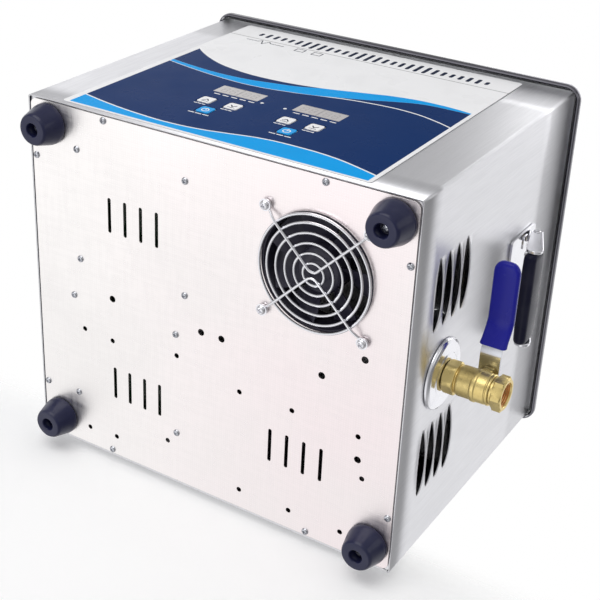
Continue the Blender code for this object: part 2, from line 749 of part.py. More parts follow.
def fan_guard():
    """Round wires under the fan, held by two bent cross wires that end in eyes."""
    bm = bmesh.new()
    for radius in guard_rings():
        steps = 10 + int(radius / 3)
        add_run(bm, circle(radius, -GUARD_STANDOFF, steps), GUARD_WIRE, True, 0)
    guard = piece("fan_guard", bm, "chrome", (FAN_X, FAN_Y, 0))
    half = FAN_SCREW_PITCH / 2
    eye_z = -GUARD_WIRE - GAP
    wire_z = -GUARD_STANDOFF - 1.4 * GUARD_WIRE
    ring_reach = FAN_OPENING / math.sqrt(2)
    eye_reach = half - GUARD_EYE / math.sqrt(2)
    bm = bmesh.new()
    for side in (-1, 1):
        centre = GUARD_BEND * math.sqrt(2)
        run = [(-eye_reach, side * eye_reach, eye_z), (-ring_reach, side * ring_reach, wire_z)]
        for x, y in arc((0, centre), GUARD_BEND, 225, 315, 4):
            run.append((x, side * y, wire_z))
        run += [(ring_reach, side * ring_reach, wire_z), (eye_reach, side * eye_reach, eye_z)]
        add_run(bm, run, GUARD_WIRE)
    unite(guard, bm, "cross_wires")
    bm = bmesh.new()
    for x, y in ((half, half), (-half, half), (half, -half), (-half, -half)):
        add_run(bm, circle(GUARD_EYE, eye_z, 10, (x, y)), GUARD_WIRE, True, 0)
    unite(guard, bm, "eyes")

    under_eye = eye_z - GUARD_WIRE - GAP
    screw = [
        (0, SHEET + GAP + FAN_DEPTH + 3),
        (FAN_SCREW_RADIUS, SHEET + GAP + FAN_DEPTH + 3),
        (FAN_SCREW_RADIUS, under_eye),
        (GUARD_EYE + 1.2, under_eye),
        (GUARD_EYE + 1.2, under_eye - 0.8),
        (GUARD_EYE + 0.6, under_eye - 0.8),
        (GUARD_EYE, under_eye - 2.6),
        (0, under_eye - 3.2),
    ]
    for number, (x, y) in enumerate(fan_corners()):
        turned(f"fan_screw_{number + 1}", screw, "zinc", (x, y, 0), steps=8)


def drain():
    """Escutcheon, pipe and the locknut inside the wall."""
    bore = PIPE_RADIUS + GAP
    front = ESCUTCHEON_THICK
    profile = [
        (bore, front),
        (ESCUTCHEON_RADIUS - 8, front),
        (ESCUTCHEON_RADIUS - 2, front - 1),
        (ESCUTCHEON_RADIUS, front - 3),
        (ESCUTCHEON_RADIUS, 0),
        (bore, 0),
    ]
    at = (SIDE + GAP, DRAIN_Y, DRAIN_Z)
    turned("drain_escutcheon", profile, "chrome", at, "X", 24, ring=True)

    run = [(PIPE_DROP_X, DRAIN_Y, TANK_UNDER - GAP)]
    corner = (PIPE_DROP_X + PIPE_BEND, DRAIN_Z + PIPE_BEND)
    run += [(x, DRAIN_Y, z) for x, z in arc(corner, PIPE_BEND, 180, 270, 5)]
    run.append((VALVE_START + VALVE_HEX_LENGTH - 1, DRAIN_Y, DRAIN_Z))
    bm = bmesh.new()
    add_run(bm, run, PIPE_RADIUS, resolution=2)
    pipe = piece("drain_pipe", bm, "brushed_steel")
    bm = bmesh.new()
    top, end = run[0], run[-1]
    longer = [(top[0], top[1], top[2] + 3)] + run[1:-1] + [(end[0] + 3, end[1], end[2])]
    add_run(bm, longer, PIPE_BORE, resolution=2)
    cut(pipe, bm, "bore")

    bm = bmesh.new()
    add_hex(bm, 2 * PIPE_RADIUS + LOCKNUT_OVER_PIPE, LOCKNUT_THICK, along="X")
    at = (INNER_SIDE - GAP - LOCKNUT_THICK / 2, DRAIN_Y, DRAIN_Z)
    nut = piece("drain_locknut", bm, "brass", at)
    bm = bmesh.new()
    add_rod(bm, bore, 3 * LOCKNUT_THICK, along="X", steps=16)
    cut(nut, bm, "bore")


def valve():
    """Ball valve: body, end piece, and the ball, stem and lever that turn together."""
    start = VALVE_START - STEM_X
    barrel_end = VALVE_BARREL_END - VALVE_STEM_AT
    neck = VALVE_BARREL - 2.5
    hex_end = start + VALVE_HEX_LENGTH
    profile = [
        (0, barrel_end),
        (VALVE_BARREL - 1, barrel_end),
        (VALVE_BARREL, barrel_end - 1.5),
        (VALVE_BARREL, 2),
        (VALVE_BARREL + 1, 1),
        (VALVE_BARREL + 1, -1.5),
        (VALVE_BARREL, -2.5),
        (VALVE_BARREL, hex_end + 4),
        (neck, hex_end + 2.5),
        (neck, hex_end - 2),
        (0, hex_end - 2),
    ]
    at = (STEM_X, DRAIN_Y, DRAIN_Z)
    body = turned("valve_body", profile, "brass", at, "X", 24)
    # The turned body's own Z is the world's X, and its own -X is the world's up.
    bm = bmesh.new()
    add_hex(bm, VALVE_HEX, VALVE_HEX_LENGTH, (0, 0, start + VALVE_HEX_LENGTH / 2))
    unite(body, bm, "hexagon")
    bm = bmesh.new()
    add_rod(bm, VALVE_BOSS_RADIUS, VALVE_BOSS_TOP, (-VALVE_BOSS_TOP / 2, 0, 0), "X", 20)
    unite(body, bm, "boss")
    chamber = BALL_RADIUS + BALL_SEAT_GAP
    spigot = VALVE_BARREL - VALVE_BARREL_WALL
    bm = bmesh.new()
    add_rod(bm, PIPE_RADIUS + GAP, VALVE_HEX_LENGTH, (0, 0, start + VALVE_HEX_LENGTH / 2 - 0.5))
    cut(body, bm, "inlet")
    bm = bmesh.new()
    add_rod(bm, BALL_BORE, 30, (0, 0, -15), steps=14)
    cut(body, bm, "waterway")
    bm = bmesh.new()
    length = barrel_end + chamber + 1
    add_rod(bm, spigot, length, (0, 0, barrel_end + 1 - length / 2), steps=20)
    cut(body, bm, "chamber")
    bm = bmesh.new()
    add_rod(bm, STEM_RADIUS + GAP, 20, (-BALL_RADIUS - 10 + 2, 0, 0), "X", 12)
    cut(body, bm, "stem_bore")

    end = VALVE_LENGTH - VALVE_STEM_AT
    face = barrel_end + GAP
    profile = [
        (0, face + 4),
        (VALVE_BARREL - 1.5, face + 4),
        (VALVE_BARREL - 1.5, face),
        (spigot - GAP, face),
        (spigot - GAP, BALL_RADIUS + GAP),
        (0, BALL_RADIUS + GAP),
    ]
    tail = turned("valve_end", profile, "brass", at, "X", 20)
    bm = bmesh.new()
    add_hex(bm, VALVE_HEX, end - face - 2, (0, 0, (end + face + 2) / 2))
    unite(tail, bm, "hexagon")
    bm = bmesh.new()
    add_rod(bm, BALL_BORE, 30, (0, 0, BALL_RADIUS + 10), steps=14)
    cut(tail, bm, "waterway")
    bm = bmesh.new()
    add_rod(bm, OUTLET_RADIUS, 12, (0, 0, end - 5), steps=16)
    cut(tail, bm, "outlet")

    axle = bpy.data.objects.new("valve_axis", None)
    PARTS.objects.link(axle)
    axle.location = metres((STEM_X, DRAIN_Y, DRAIN_Z))

    bm = bmesh.new()
    bmesh.ops.create_uvsphere(bm, u_segments=12, v_segments=8, radius=BALL_RADIUS * MM)
    ball = piece("valve_ball", bm, "chrome", parent=axle)
    bm = bmesh.new()
    add_rod(bm, BALL_BORE, 30, along="Y", steps=14)
    add_box(bm, (30, 30, 4), (0, 0, BALL_RADIUS + 1))
    cut(ball, bm, "waterway")

    lever_z = LEVER_Z - DRAIN_Z
    nut_z = lever_z + LEVER_THICK / 2 + GAP
    stem_low = BALL_RADIUS - 1 + GAP
    stem_high = nut_z + LEVER_NUT_THICK + 1.5
    profile = [
        (0, stem_high),
        (STEM_RADIUS - 0.6, stem_high),
        (STEM_RADIUS, stem_high - 0.6),
        (STEM_RADIUS, stem_low),
        (0, stem_low),
    ]
    turned("valve_stem", profile, "zinc", steps=12, parent=axle)

    bm = bmesh.new()
    add_hex(bm, PACKING_NUT, PACKING_NUT_THICK)
    packing_z = DRAIN_Z + VALVE_BOSS_TOP + GAP + PACKING_NUT_THICK / 2
    packing = piece("packing_nut", bm, "brass", (STEM_X, DRAIN_Y, packing_z))
    bm = bmesh.new()
    add_rod(bm, STEM_RADIUS + GAP, 4 * PACKING_NUT_THICK, steps=12)
    cut(packing, bm, "bore")

    bm = bmesh.new()
    add_hex(bm, LEVER_NUT, LEVER_NUT_THICK)
    nut = piece("lever_nut", bm, "zinc", (0, 0, nut_z + LEVER_NUT_THICK / 2), axle)
    bm = bmesh.new()
    add_rod(bm, STEM_RADIUS + GAP, 4 * LEVER_NUT_THICK, steps=12)
    cut(nut, bm, "bore")

    lever = lever_strip("valve_lever", "zinc", axle, LEVER_WIDTH, LEVER_THICK, -10, LEVER_REACH)
    bm = bmesh.new()
    add_rod(bm, STEM_RADIUS + GAP, 20, (0, 0, lever_z), steps=12)
    cut(lever, bm, "stem_hole")
    width = LEVER_WIDTH + 2 * (SLEEVE_WALL + GAP)
    thick = LEVER_THICK + 2 * (SLEEVE_WALL + GAP)
    tip = LEVER_REACH + SLEEVE_WALL + GAP
    sleeve = lever_strip("lever_sleeve", "blue_vinyl", axle, width, thick, SLEEVE_START, tip)
    soft = sleeve.modifiers.new("edges", "BEVEL")
    soft.width = 1.6 * MM
    soft.segments = 2
    soft.limit_method = "ANGLE"
    hollow = lever_strip(
        "lever_sleeve_hollow", None, axle, LEVER_WIDTH + 2 * GAP, LEVER_THICK + 2 * GAP,
        SLEEVE_START - 3, LEVER_REACH + GAP,
    )
    pocket = sleeve.modifiers.new("pocket", "BOOLEAN")
    pocket.operation = "DIFFERENCE"
    pocket.object = hollow


def lever_height(reach):
    """Height of the lever's mid plane above the pipe's axis, at a distance from the stem."""
    rise = (reach - LEVER_RISE_FROM) / (LEVER_RISE_TO - LEVER_RISE_FROM)
    return LEVER_Z - DRAIN_Z + LEVER_RISE * min(1, max(0, rise))


def lever_strip(name, look, parent, width, thick, start, end):
    """A flat strip along the lever's bent line, with rounded ends. No look makes a cutter."""
    stops = [start] + [s for s in (LEVER_RISE_FROM, LEVER_RISE_TO) if s > start] + [end]
    bm = bmesh.new()
    rows = []
    for reach in stops:
        height = lever_height(reach)
        row = [bm.verts.new(metres((x, -reach, height))) for x in (-width / 2, width / 2)]
        rows.append(row)
    for low, high in zip(rows, rows[1:]):
        bm.faces.new((low[0], high[0], high[1], low[1]))
    tip_corners = rows[-1] if start > 0 else rows[0] + rows[-1]
    bmesh.ops.bevel(
        bm, geom=tip_corners, offset=0.42 * width * MM, segments=4, profile=0.5, affect="VERTICES"
    )
    bmesh.ops.recalc_face_normals(bm, faces=bm.faces)
    made = piece(name, bm, look, parent=parent) if look else helper(name, bm, parent)
    sheet = made.modifiers.new("sheet", "SOLIDIFY")
    sheet.thickness = thick * MM
    sheet.offset = 0
    sheet.use_even_offset = True
    return made


def handle(side, name):
    """Base plate with two ears, and the bail with its grip that hangs on them."""
    plate_out = SIDE + GAP + HANDLE_PLATE_THICK / 2
    bm = bmesh.new()
    add_box(
        bm, (HANDLE_PLATE_THICK, HANDLE_PLATE_LONG, HANDLE_PLATE_HIGH),
        (side * plate_out, 0, 0), HANDLE_PLATE_CORNER, "X", 4,
    )
    plate = piece(f"{name}_plate", bm, "chrome", (0, HANDLE_Y, HANDLE_Z))
    pivot_x = SIDE + HANDLE_PIVOT_OUT
    ear_at = HANDLE_ARM_AT - HANDLE_ARM_THICK / 2 - GAP - HANDLE_EAR_THICK / 2
    foot = pivot_x - SIDE - GAP - HANDLE_PLATE_THICK / 2
    for end in (-1, 1):
        bm = bmesh.new()
        add_box(
            bm, (foot, HANDLE_EAR_THICK - 0.4, 2 * HANDLE_EAR_RADIUS - 1),
            (side * (pivot_x - foot / 2), end * ear_at, HANDLE_PIVOT_UP),
        )
        unite(plate, bm, f"ear_foot_{end}")
        bm = bmesh.new()
        at = (side * pivot_x, end * ear_at, HANDLE_PIVOT_UP)
        add_rod(bm, HANDLE_EAR_RADIUS, HANDLE_EAR_THICK, at, "Y", 16)
        unite(plate, bm, f"ear_{end}")
        bm = bmesh.new()
        add_rod(bm, HANDLE_PIN_RADIUS + GAP, 3 * HANDLE_EAR_THICK, at, "Y", 12)
        cut(plate, bm, f"ear_bore_{end}")

    axle = bpy.data.objects.new(f"{name}_axis", None)
    PARTS.objects.link(axle)
    axle.location = metres((side * pivot_x, HANDLE_Y, HANDLE_Z + HANDLE_PIVOT_UP))
    out = side * (HANDLE_GRIP_OUT - HANDLE_PIVOT_OUT)
    down = -HANDLE_GRIP_DOWN
    bm = bmesh.new()
    add_rod(bm, HANDLE_ROD_RADIUS, 2 * HANDLE_ARM_AT, (out, 0, down), "Y", 12)
    bail = piece(f"{name}_bail", bm, "chrome", parent=axle)
    pin_length = HANDLE_EAR_THICK + HANDLE_ARM_THICK / 2 + GAP
    for end in (-1, 1):
        outline = arc((0, 0), HANDLE_EAR_RADIUS, 0, 180, 6)
        outline += [
            (x, y - ARM_LENGTH) for x, y in arc((0, 0), HANDLE_EAR_RADIUS, 180, 360, 6)
        ]
        bm = bmesh.new()
        face = bm.faces.new([bm.verts.new(metres((x, 0, z))) for x, z in outline])
        grown = bmesh.ops.extrude_face_region(bm, geom=[face])["geom"]
        moved = [g for g in grown if isinstance(g, bmesh.types.BMVert)]
        bmesh.ops.translate(bm, vec=(0, HANDLE_ARM_THICK * MM, 0), verts=moved)
        bmesh.ops.translate(
            bm, vec=(0, (end * HANDLE_ARM_AT - HANDLE_ARM_THICK / 2) * MM, 0), verts=bm.verts
        )
        lean = Matrix.Rotation(-math.atan2(out, HANDLE_GRIP_DOWN), 4, "Y")
        bmesh.ops.transform(bm, matrix=lean, verts=bm.verts)
        bmesh.ops.recalc_face_normals(bm, faces=bm.faces)
        unite(bail, bm, f"arm_{end}")
        bm = bmesh.new()
        at = (0, end * (HANDLE_ARM_AT - pin_length / 2), 0)
        add_rod(bm, HANDLE_PIN_RADIUS, pin_length, at, "Y", 12)
        unite(bail, bm, f"pin_{end}")

    bm = bmesh.new()
    add_box(
        bm, (HANDLE_GRIP_THICK, GRIP_LENGTH, HANDLE_GRIP_HIGH), (out, 0, down),
        HANDLE_GRIP_CORNER, "Y", 4,
    )
    grip = piece(f"{name}_grip", bm, "black_plastic", parent=axle)
    bm = bmesh.new()
    add_rod(bm, HANDLE_ROD_RADIUS + GAP, 2 * GRIP_LENGTH, (out, 0, down), "Y", 16)
    cut(grip, bm, "rod_bore")


def control_panel():
    """Film, display windows, keys and the board behind them."""
    width = OVERLAY_RIGHT - OVERLAY_LEFT
    height = OVERLAY_TOP - OVERLAY_BOTTOM
    centre = ((OVERLAY_RIGHT + OVERLAY_LEFT) / 2, (OVERLAY_TOP + OVERLAY_BOTTOM) / 2)
    bm = bmesh.new()
    at = (centre[0], OVERLAY_FACE + OVERLAY_THICK / 2, centre[1])
    add_box(bm, (width, OVERLAY_THICK, height), at, OVERLAY_CORNER, "Y")
    film = piece("control_overlay", bm, "panel_film")
    cut(film, front_openings(), "openings")

    inner = INNER_FRONT + GAP
    for name, (x, below) in DISPLAYS.items():
        bm = bmesh.new()
        depth = inner - OVERLAY_FACE
        add_box(bm, (DISPLAY_SIZE[0], depth, DISPLAY_SIZE[1]))
        piece(name, bm, "display_lens", (x, OVERLAY_FACE + depth / 2, TANK_FLOOR - below))

    face = OVERLAY_FACE - KEY_PROUD
    key_back = INNER_FRONT + KEY_FLANGE_GAP + KEY_FLANGE_THICK
    for name, (x, below) in KEYS.items():
        bm = bmesh.new()
        depth = key_back - face
        add_box(bm, (KEY_SIZE[0], depth, KEY_SIZE[1]), radius=1.2, along="Y", steps=2)
        look = "blue_key" if name.endswith("start") else "white_key"
        key = piece(name, bm, look, (x, face + depth / 2, TANK_FLOOR - below))
        bm = bmesh.new()
        size = (KEY_SIZE[0] + 2 * KEY_FLANGE, KEY_FLANGE_THICK, KEY_SIZE[1] + 2 * KEY_FLANGE)
        add_box(bm, size, (0, depth / 2 - KEY_FLANGE_THICK / 2, 0))
        unite(key, bm, "flange")

    board_front = INNER_FRONT + CONTROL_BOARD_BACK
    bm = bmesh.new()
    board_x, board_z = CONTROL_BOARD_AT[0], TANK_FLOOR - CONTROL_BOARD_AT[1]
    at = (board_x, board_front + BOARD_THICK / 2, board_z)
    add_box(bm, (CONTROL_BOARD[0], BOARD_THICK, CONTROL_BOARD[1]), at)
    board = piece("control_board", bm, "circuit_board")
    bm = bmesh.new()
    root = board_front + BOARD_THICK / 2
    for x, below in DISPLAYS.values():
        front = inner + GAP
        size = (DISPLAY_SIZE[0] - 3, root - front, DISPLAY_SIZE[1] - 3)
        add_box(bm, size, (x, (root + front) / 2, TANK_FLOOR - below))
    for x, below in KEYS.values():
        front = key_back + KEY_TRAVEL + GAP
        add_box(bm, (6, root - front, 6), (x, (root + front) / 2, TANK_FLOOR - below))
    for sx in (-1, 1):
        for sz in (-1, 1):
            x = board_x + sx * (CONTROL_BOARD[0] / 2 - 5)
            z = board_z + sz * (CONTROL_BOARD[1] / 2 - 5)
            front = INNER_FRONT + GAP
            add_rod(bm, 3, root - front, (x, (root + front) / 2, z), "Y", 8)
    unite(board, bm, "components")


def electronics():
    """Two generator boards over the bottom plate, each on four legs."""
    legs_low = SHEET + GAP
    board_z = SHEET + BOARD_STANDOFF
    for name, (x, y) in GENERATOR_BOARDS.items():
        bm = bmesh.new()
        add_box(bm, (*GENERATOR_BOARD, BOARD_THICK), (0, 0, board_z + BOARD_THICK / 2))
        board = piece(name, bm, "circuit_board", (x, y, 0))
        bm = bmesh.new()
        root = board_z + BOARD_THICK / 2
        for size, at in (
            ((70, 8, 30), (0, 38, 0)),
            ((30, 30, 24), (-35, -5, 0)),
            ((36, 26, 20), (32, -28, 0)),
        ):
            add_box(bm, size, (at[0], at[1], root + size[2] / 2))
        add_rod(bm, 10, 30, (12, 8, root + 15), steps=12)
        for sx in (-1, 1):
            for sy in (-1, 1):
                leg = (sx * (GENERATOR_BOARD[0] / 2 - 6.5), sy * (GENERATOR_BOARD[1] / 2 - 6))
                add_rod(bm, 3.5, root - legs_low, (*leg, (root + legs_low) / 2), steps=8)
        unite(board, bm, "components")


def transducers():
    """Six bolted sandwich transducers, bonded under the tank floor."""
    top = TANK_UNDER - GAP
    cone = 0.45 * TRANSDUCER_LENGTH
    waist = 0.72 * TRANSDUCER_RADIUS
    profile = [
        (0, 0),
        (TRANSDUCER_RADIUS, 0),
        (TRANSDUCER_RADIUS, -3),
        (waist, -cone),
        (waist, -TRANSDUCER_LENGTH + 5),
        (6, -TRANSDUCER_LENGTH + 5),
        (6, -TRANSDUCER_LENGTH),
        (0, -TRANSDUCER_LENGTH),
    ]
    number = 1
    for y in (-TRANSDUCER_Y, TRANSDUCER_Y):
        for x in (-TRANSDUCER_X, 0, TRANSDUCER_X):
            turned(f"transducer_{number}", profile, "ceramic_stack", (x, y, top), steps=14)
            number += 1


def heaters():
    """Heating pads on the tank's front and back walls, and the temperature sensor."""
    wall = TANK_DEPTH / 2 + TANK_SHEET + GAP
    middle = TANK_FLOOR + TANK_FILLET + HEATER_SIZE[1] / 2 + 5
    for name, side in (("heater_pad_front", -1), ("heater_pad_rear", 1)):
        bm = bmesh.new()
        add_box(bm, (HEATER_SIZE[0], HEATER_THICK, HEATER_SIZE[1]), radius=6, along="Y", steps=2)
        piece(name, bm, "silicone", (0, side * (wall + HEATER_THICK / 2), middle))
    profile = [(0, SENSOR_LENGTH), (SENSOR_RADIUS, SENSOR_LENGTH), (SENSOR_RADIUS, 0), (0, 0)]
    at = (TANK_WIDTH / 2 + TANK_SHEET + GAP, -60, middle)
    turned("temperature_sensor", profile, "zinc", at, "X", 10)


def mains():
    """Mains inlet with its socket, and the rocker switch."""
    outside = BACK + GAP
    flange_thick = 2.0
    x, z = INLET_AT
    bm = bmesh.new()
    size = (INLET_FLANGE[0], flange_thick, INLET_FLANGE[1])
    add_box(bm, size, (0, flange_thick / 2, 0), 4, "Y")
    inlet = piece("power_inlet", bm, "black_plastic", (x, outside, z))
    bm = bmesh.new()
    add_box(bm, (INLET_CUTOUT[0], INLET_DEPTH, INLET_CUTOUT[1]), (0, -INLET_DEPTH / 2 + 1, 0))
    unite(inlet, bm, "barrel")
    bm = bmesh.new()
    deep = flange_thick - INLET_SOCKET_DEPTH
    size = (INLET_SOCKET[0], INLET_SOCKET_DEPTH + 2, INLET_SOCKET[1])
    add_box(bm, size, (0, deep + size[1] / 2, 0), 2, "Y")
    cut(inlet, bm, "socket")
    bm = bmesh.new()
    pin_length = 12.0
    for px, pz in ((-7, -2), (7, -2), (0, 2)):
        add_box(bm, (2, pin_length, 4), (px, deep + pin_length / 2 - 1, pz))
    unite(inlet, bm, "pins")

    x, z = SWITCH_AT
    bm = bmesh.new()
    add_box(bm, (SWITCH_BEZEL[0], flange_thick, SWITCH_BEZEL[1]), (0, flange_thick / 2, 0))
    switch = piece("power_switch_body", bm, "black_plastic", (x, outside, z))
    bm = bmesh.new()
    add_box(bm, (SWITCH_CUTOUT[0], SWITCH_DEPTH, SWITCH_CUTOUT[1]), (0, -SWITCH_DEPTH / 2 + 1, 0))
    unite(switch, bm, "barrel")
    bm = bmesh.new()
    pocket = (SWITCH_CUTOUT[0] - 2.5, 12.0, SWITCH_CUTOUT[1] - 2.0)
    add_box(bm, pocket, (0, flange_thick + 0.5 - pocket[1] / 2, 0))
    cut(switch, bm, "pocket")
    bm = bmesh.new()
    rocker_size = (pocket[0] - 2 * GAP, 8.0, pocket[2] - 3.5)
    add_box(bm, rocker_size, (0, 1.5, 0), 1.5, "X", 2)
    rocker = piece("power_rocker", bm, "black_plastic", (x, BACK - 1.5, z))
    rocker.rotation_euler.x = math.radians(-ROCKER_TILT)


def main():
    housing()
    back_panel()
    bottom_plate()
    feet()
    tank()
    fan()
    fan_guard()
    drain()
    valve()
    handle(1, "handle_right")
    handle(-1, "handle_left")
    control_panel()
    electronics()
    transducers()
    heaters()
    mains()


for old in list(bpy.data.objects):
    bpy.data.objects.remove(old)
PARTS = collection("ultrasonic_cleaner")
CUTTERS = collection("cutters")
main()
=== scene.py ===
"""Bench ultrasonic cleaner: finished surfaces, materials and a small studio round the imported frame.

The frame's axes: +X is the side with the drain valve, -Y the control panel and +Z up, with the
origin in the middle of the bottom plate's outer face. Shapes are worked out in millimetres and
turned to metres when a piece is placed.
"""

import json
import math

import bmesh
import bpy
from bpy.props import FloatProperty, FloatVectorProperty, IntProperty, PointerProperty
from mathutils import Matrix, Vector


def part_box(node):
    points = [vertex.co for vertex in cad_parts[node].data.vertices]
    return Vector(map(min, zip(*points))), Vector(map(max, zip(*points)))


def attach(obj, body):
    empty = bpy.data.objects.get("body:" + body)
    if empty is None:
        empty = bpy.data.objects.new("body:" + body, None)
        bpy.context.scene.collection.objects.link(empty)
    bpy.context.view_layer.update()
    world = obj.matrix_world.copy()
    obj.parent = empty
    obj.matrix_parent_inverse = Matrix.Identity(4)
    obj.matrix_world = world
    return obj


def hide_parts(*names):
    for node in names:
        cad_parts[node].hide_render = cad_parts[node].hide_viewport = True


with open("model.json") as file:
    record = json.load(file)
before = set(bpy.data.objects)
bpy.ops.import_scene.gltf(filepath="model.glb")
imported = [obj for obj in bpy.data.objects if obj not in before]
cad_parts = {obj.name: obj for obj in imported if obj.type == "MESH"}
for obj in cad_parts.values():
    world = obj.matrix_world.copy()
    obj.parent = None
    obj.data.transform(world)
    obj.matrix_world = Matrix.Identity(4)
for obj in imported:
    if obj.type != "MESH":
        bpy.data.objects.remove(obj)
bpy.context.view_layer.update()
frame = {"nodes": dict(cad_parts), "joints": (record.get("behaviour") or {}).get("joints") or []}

bl_info = {
    "name": "Bench Ultrasonic Cleaner",
    "version": (1, 0, 0),
    "blender": (4, 5, 0),
    "location": "3D View > Sidebar > Cleaner",
    "description": "Finishes the pieces of a bench ultrasonic cleaner and sets them in a studio",
    "category": "Add Mesh",
}

MM = 0.001
GAP = 0.3

TOWARDS = {
    "X": Matrix.Rotation(math.pi / 2, 4, "Y"),
    "-X": Matrix.Rotation(-math.pi / 2, 4, "Y"),
    "Y": Matrix.Rotation(-math.pi / 2, 4, "X"),
    "-Y": Matrix.Rotation(math.pi / 2, 4, "X"),
    "Z": Matrix.Identity(4),
    "-Z": Matrix.Rotation(math.pi, 4, "X"),
}


# ------------------------------------------------------------------ places read from the frame

def low(node):
    """The lowest corner of a node's box."""
    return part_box(node)[0] / MM


def high(node):
    """The highest corner of a node's box."""
    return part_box(node)[1] / MM


def middle(node):
    """The middle of a node's box."""
    return (low(node) + high(node)) / 2


def size_of(node):
    """The three sizes of a node's box."""
    return high(node) - low(node)


def pivot(name):
    """The point of a joint of the frame."""
    return Vector(next(j["pos_m"] for j in frame["joints"] if j["name"] == name)) / MM


SHEET = size_of("bottom_plate").z
SIDE = high("bottom_plate").x + SHEET + 1
FRONT = low("housing_wrap").y
BACK = -FRONT
WALL_TOP = high("housing_wrap").z
RIM_TOP = high("tank").z
TANK_FLOOR = low("tank").z + 1
BODY_CORNER = 2.5
SCREW_HEIGHT = 1.9

LOUVRE_GROUPS = (-72.0, 78.0)
LOUVRE_FIRST = 38.0
LOUVRE_PITCH = 15.5
LOUVRES = 4
LOUVRE_HALF = 31.0
LOUVRE_RISE = 9.5
LOUVRE_LIP = 5.0
LOUVRE_OPEN = 0.72
LOUVRE_CUT_HALF = 0.5
LOUVRE_COLUMNS = 40
PLAIN_ROWS = (160.0, 220.0)

FAN = middle("fan_rotor").xy
FAN_OPENING = 48.5
FAN_BORE = 47.0
FAN_SCREW = 44.25
DRAIN = pivot("valve_turn")
DRAIN_HOLE = DRAIN - Vector((72, 0, 0))
TANK_WIDTH, TANK_DEPTH = 330.0, 300.0


# ------------------------------------------------------------------ sizes and colours to change

def tint(red, green, blue):
    """A display colour, 0 to 255, as scene-linear values."""
    levels = [value / 255 for value in (red, green, blue)]
    return tuple(v / 12.92 if v <= 0.04045 else ((v + 0.055) / 1.055) ** 2.4 for v in levels)


def length_setting(name, description, millimetres):
    """A length of the sidebar, given in millimetres and kept in metres."""
    return FloatProperty(
        name=name, description=description, default=millimetres * MM, min=0, unit="LENGTH",
        subtype="DISTANCE", precision=4,
    )


def colour_setting(name, description, red, green, blue):
    """A colour of the sidebar, given as a display colour."""
    return FloatVectorProperty(
        name=name, description=description, default=tint(red, green, blue), min=0, max=1,
        size=3, subtype="COLOR",
    )


class CleanerSizes(bpy.types.PropertyGroup):
    """Sizes of the finished pieces that the frame leaves open."""

    louvre_reach: length_setting("Louvre reach", "How far a louvre's hood stands out", 4.2)
    louvre_dip: length_setting("Louvre dip", "How far the sheet under a louvre is pressed in", 2.6)
    slot_length: length_setting("Slot length", "Length of a ventilation slot underneath", 31.0)
    slot_width: length_setting("Slot width", "Width of a ventilation slot underneath", 3.2)
    slot_pitch: length_setting("Slot pitch", "Distance between the slots of a group", 16.0)
    wire_radius: length_setting("Guard wire", "Radius of the fan guard's wires", 1.15)
    screw_radius: length_setting("Screw head", "Radius of the small screw heads", 3.1)
    blades: IntProperty(
        name="Fan blades", description="Number of blades on the fan", default=7, min=3, max=11
    )


class CleanerColours(bpy.types.PropertyGroup):
    """Colours of the metals, plastics and prints."""

    bottom: colour_setting("Bottom steel", "Linen steel of the bottom plate", 250, 247, 245)
    housing: colour_setting("Housing steel", "Brushed steel of the walls", 226, 226, 229)
    # Darker than the other steels: painted shade under the rim.
    rim: colour_setting("Rim steel", "Polished steel under the rim", 112, 111, 118)
    tank: colour_setting("Tank steel", "Satin steel inside the tank", 205, 206, 208)
    chrome: colour_setting("Chrome", "Chromed wire, disc and handles", 236, 236, 240)
    zinc: colour_setting("Zinc", "Zinc-plated screws and lever", 196, 198, 204)
    brass: colour_setting("Brass", "Valve body and fittings", 226, 204, 138)
    vinyl: colour_setting("Lever sleeve", "Dipped vinyl on the lever", 28, 30, 150)
    rubber: colour_setting("Feet", "Rubber feet", 29, 32, 64)
    grip: colour_setting("Grips", "Plastic grips of the handles", 20, 21, 44)
    fan: colour_setting("Fan", "Moulded fan plastic", 44, 42, 58)
    navy: colour_setting("Panel navy", "Dark field of the front film", 0, 45, 100)
    blue: colour_setting("Panel blue", "Light waves of the front film", 0, 160, 235)
    white: colour_setting("Panel white", "White of the front film", 243, 243, 244)


def sizes():
    """The sizes as the sidebar has them now."""
    return bpy.context.scene.cleaner_sizes


def colours():
    """The colours as the sidebar has them now."""
    return bpy.context.scene.cleaner_colours


# ------------------------------------------------------------------ modelling helpers

def at(point, towards="Z", turn=0.0):
    """The place of a shape made about the origin along Z."""
    roll = Matrix.Rotation(math.radians(turn), 4, "Z")
    return Matrix.Translation(Vector(point)) @ TOWARDS[towards] @ roll


def tidy(bm):
    """Closes seams and poles, and turns the faces of closed shapes outwards."""
    bmesh.ops.remove_doubles(bm, verts=bm.verts, dist=0.001)
    bmesh.ops.recalc_face_normals(bm, faces=bm.faces)


def absorb(bm, shape, place=Matrix()):
    """Adds a finished shape to a piece, at its place."""
    bmesh.ops.transform(shape, matrix=place, verts=shape.verts)
    mesh = bpy.data.meshes.new("shape")
    shape.to_mesh(mesh)
    shape.free()
    bm.from_mesh(mesh)
    bpy.data.meshes.remove(mesh)


def softened(profile, radius, steps=4, closed=False):
    """A line of points with its corners rounded."""
    points = [Vector(point) for point in profile]
    if closed:
        points = [*points, points[0], points[1]]
    done = [] if closed else [points[0]]
    for before, corner, after in zip(points, points[1:], points[2:]):
        back, forth = before - corner, after - corner
        cut = min(radius, back.length / 2.1, forth.length / 2.1)
        start, end = corner + back.normalized() * cut, corner + forth.normalized() * cut
        for step in range(steps + 1):
            t = step / steps
            done.append(start.lerp(corner, t).lerp(corner.lerp(end, t), t))
    return [*done, done[0]] if closed else [*done, points[-1]]


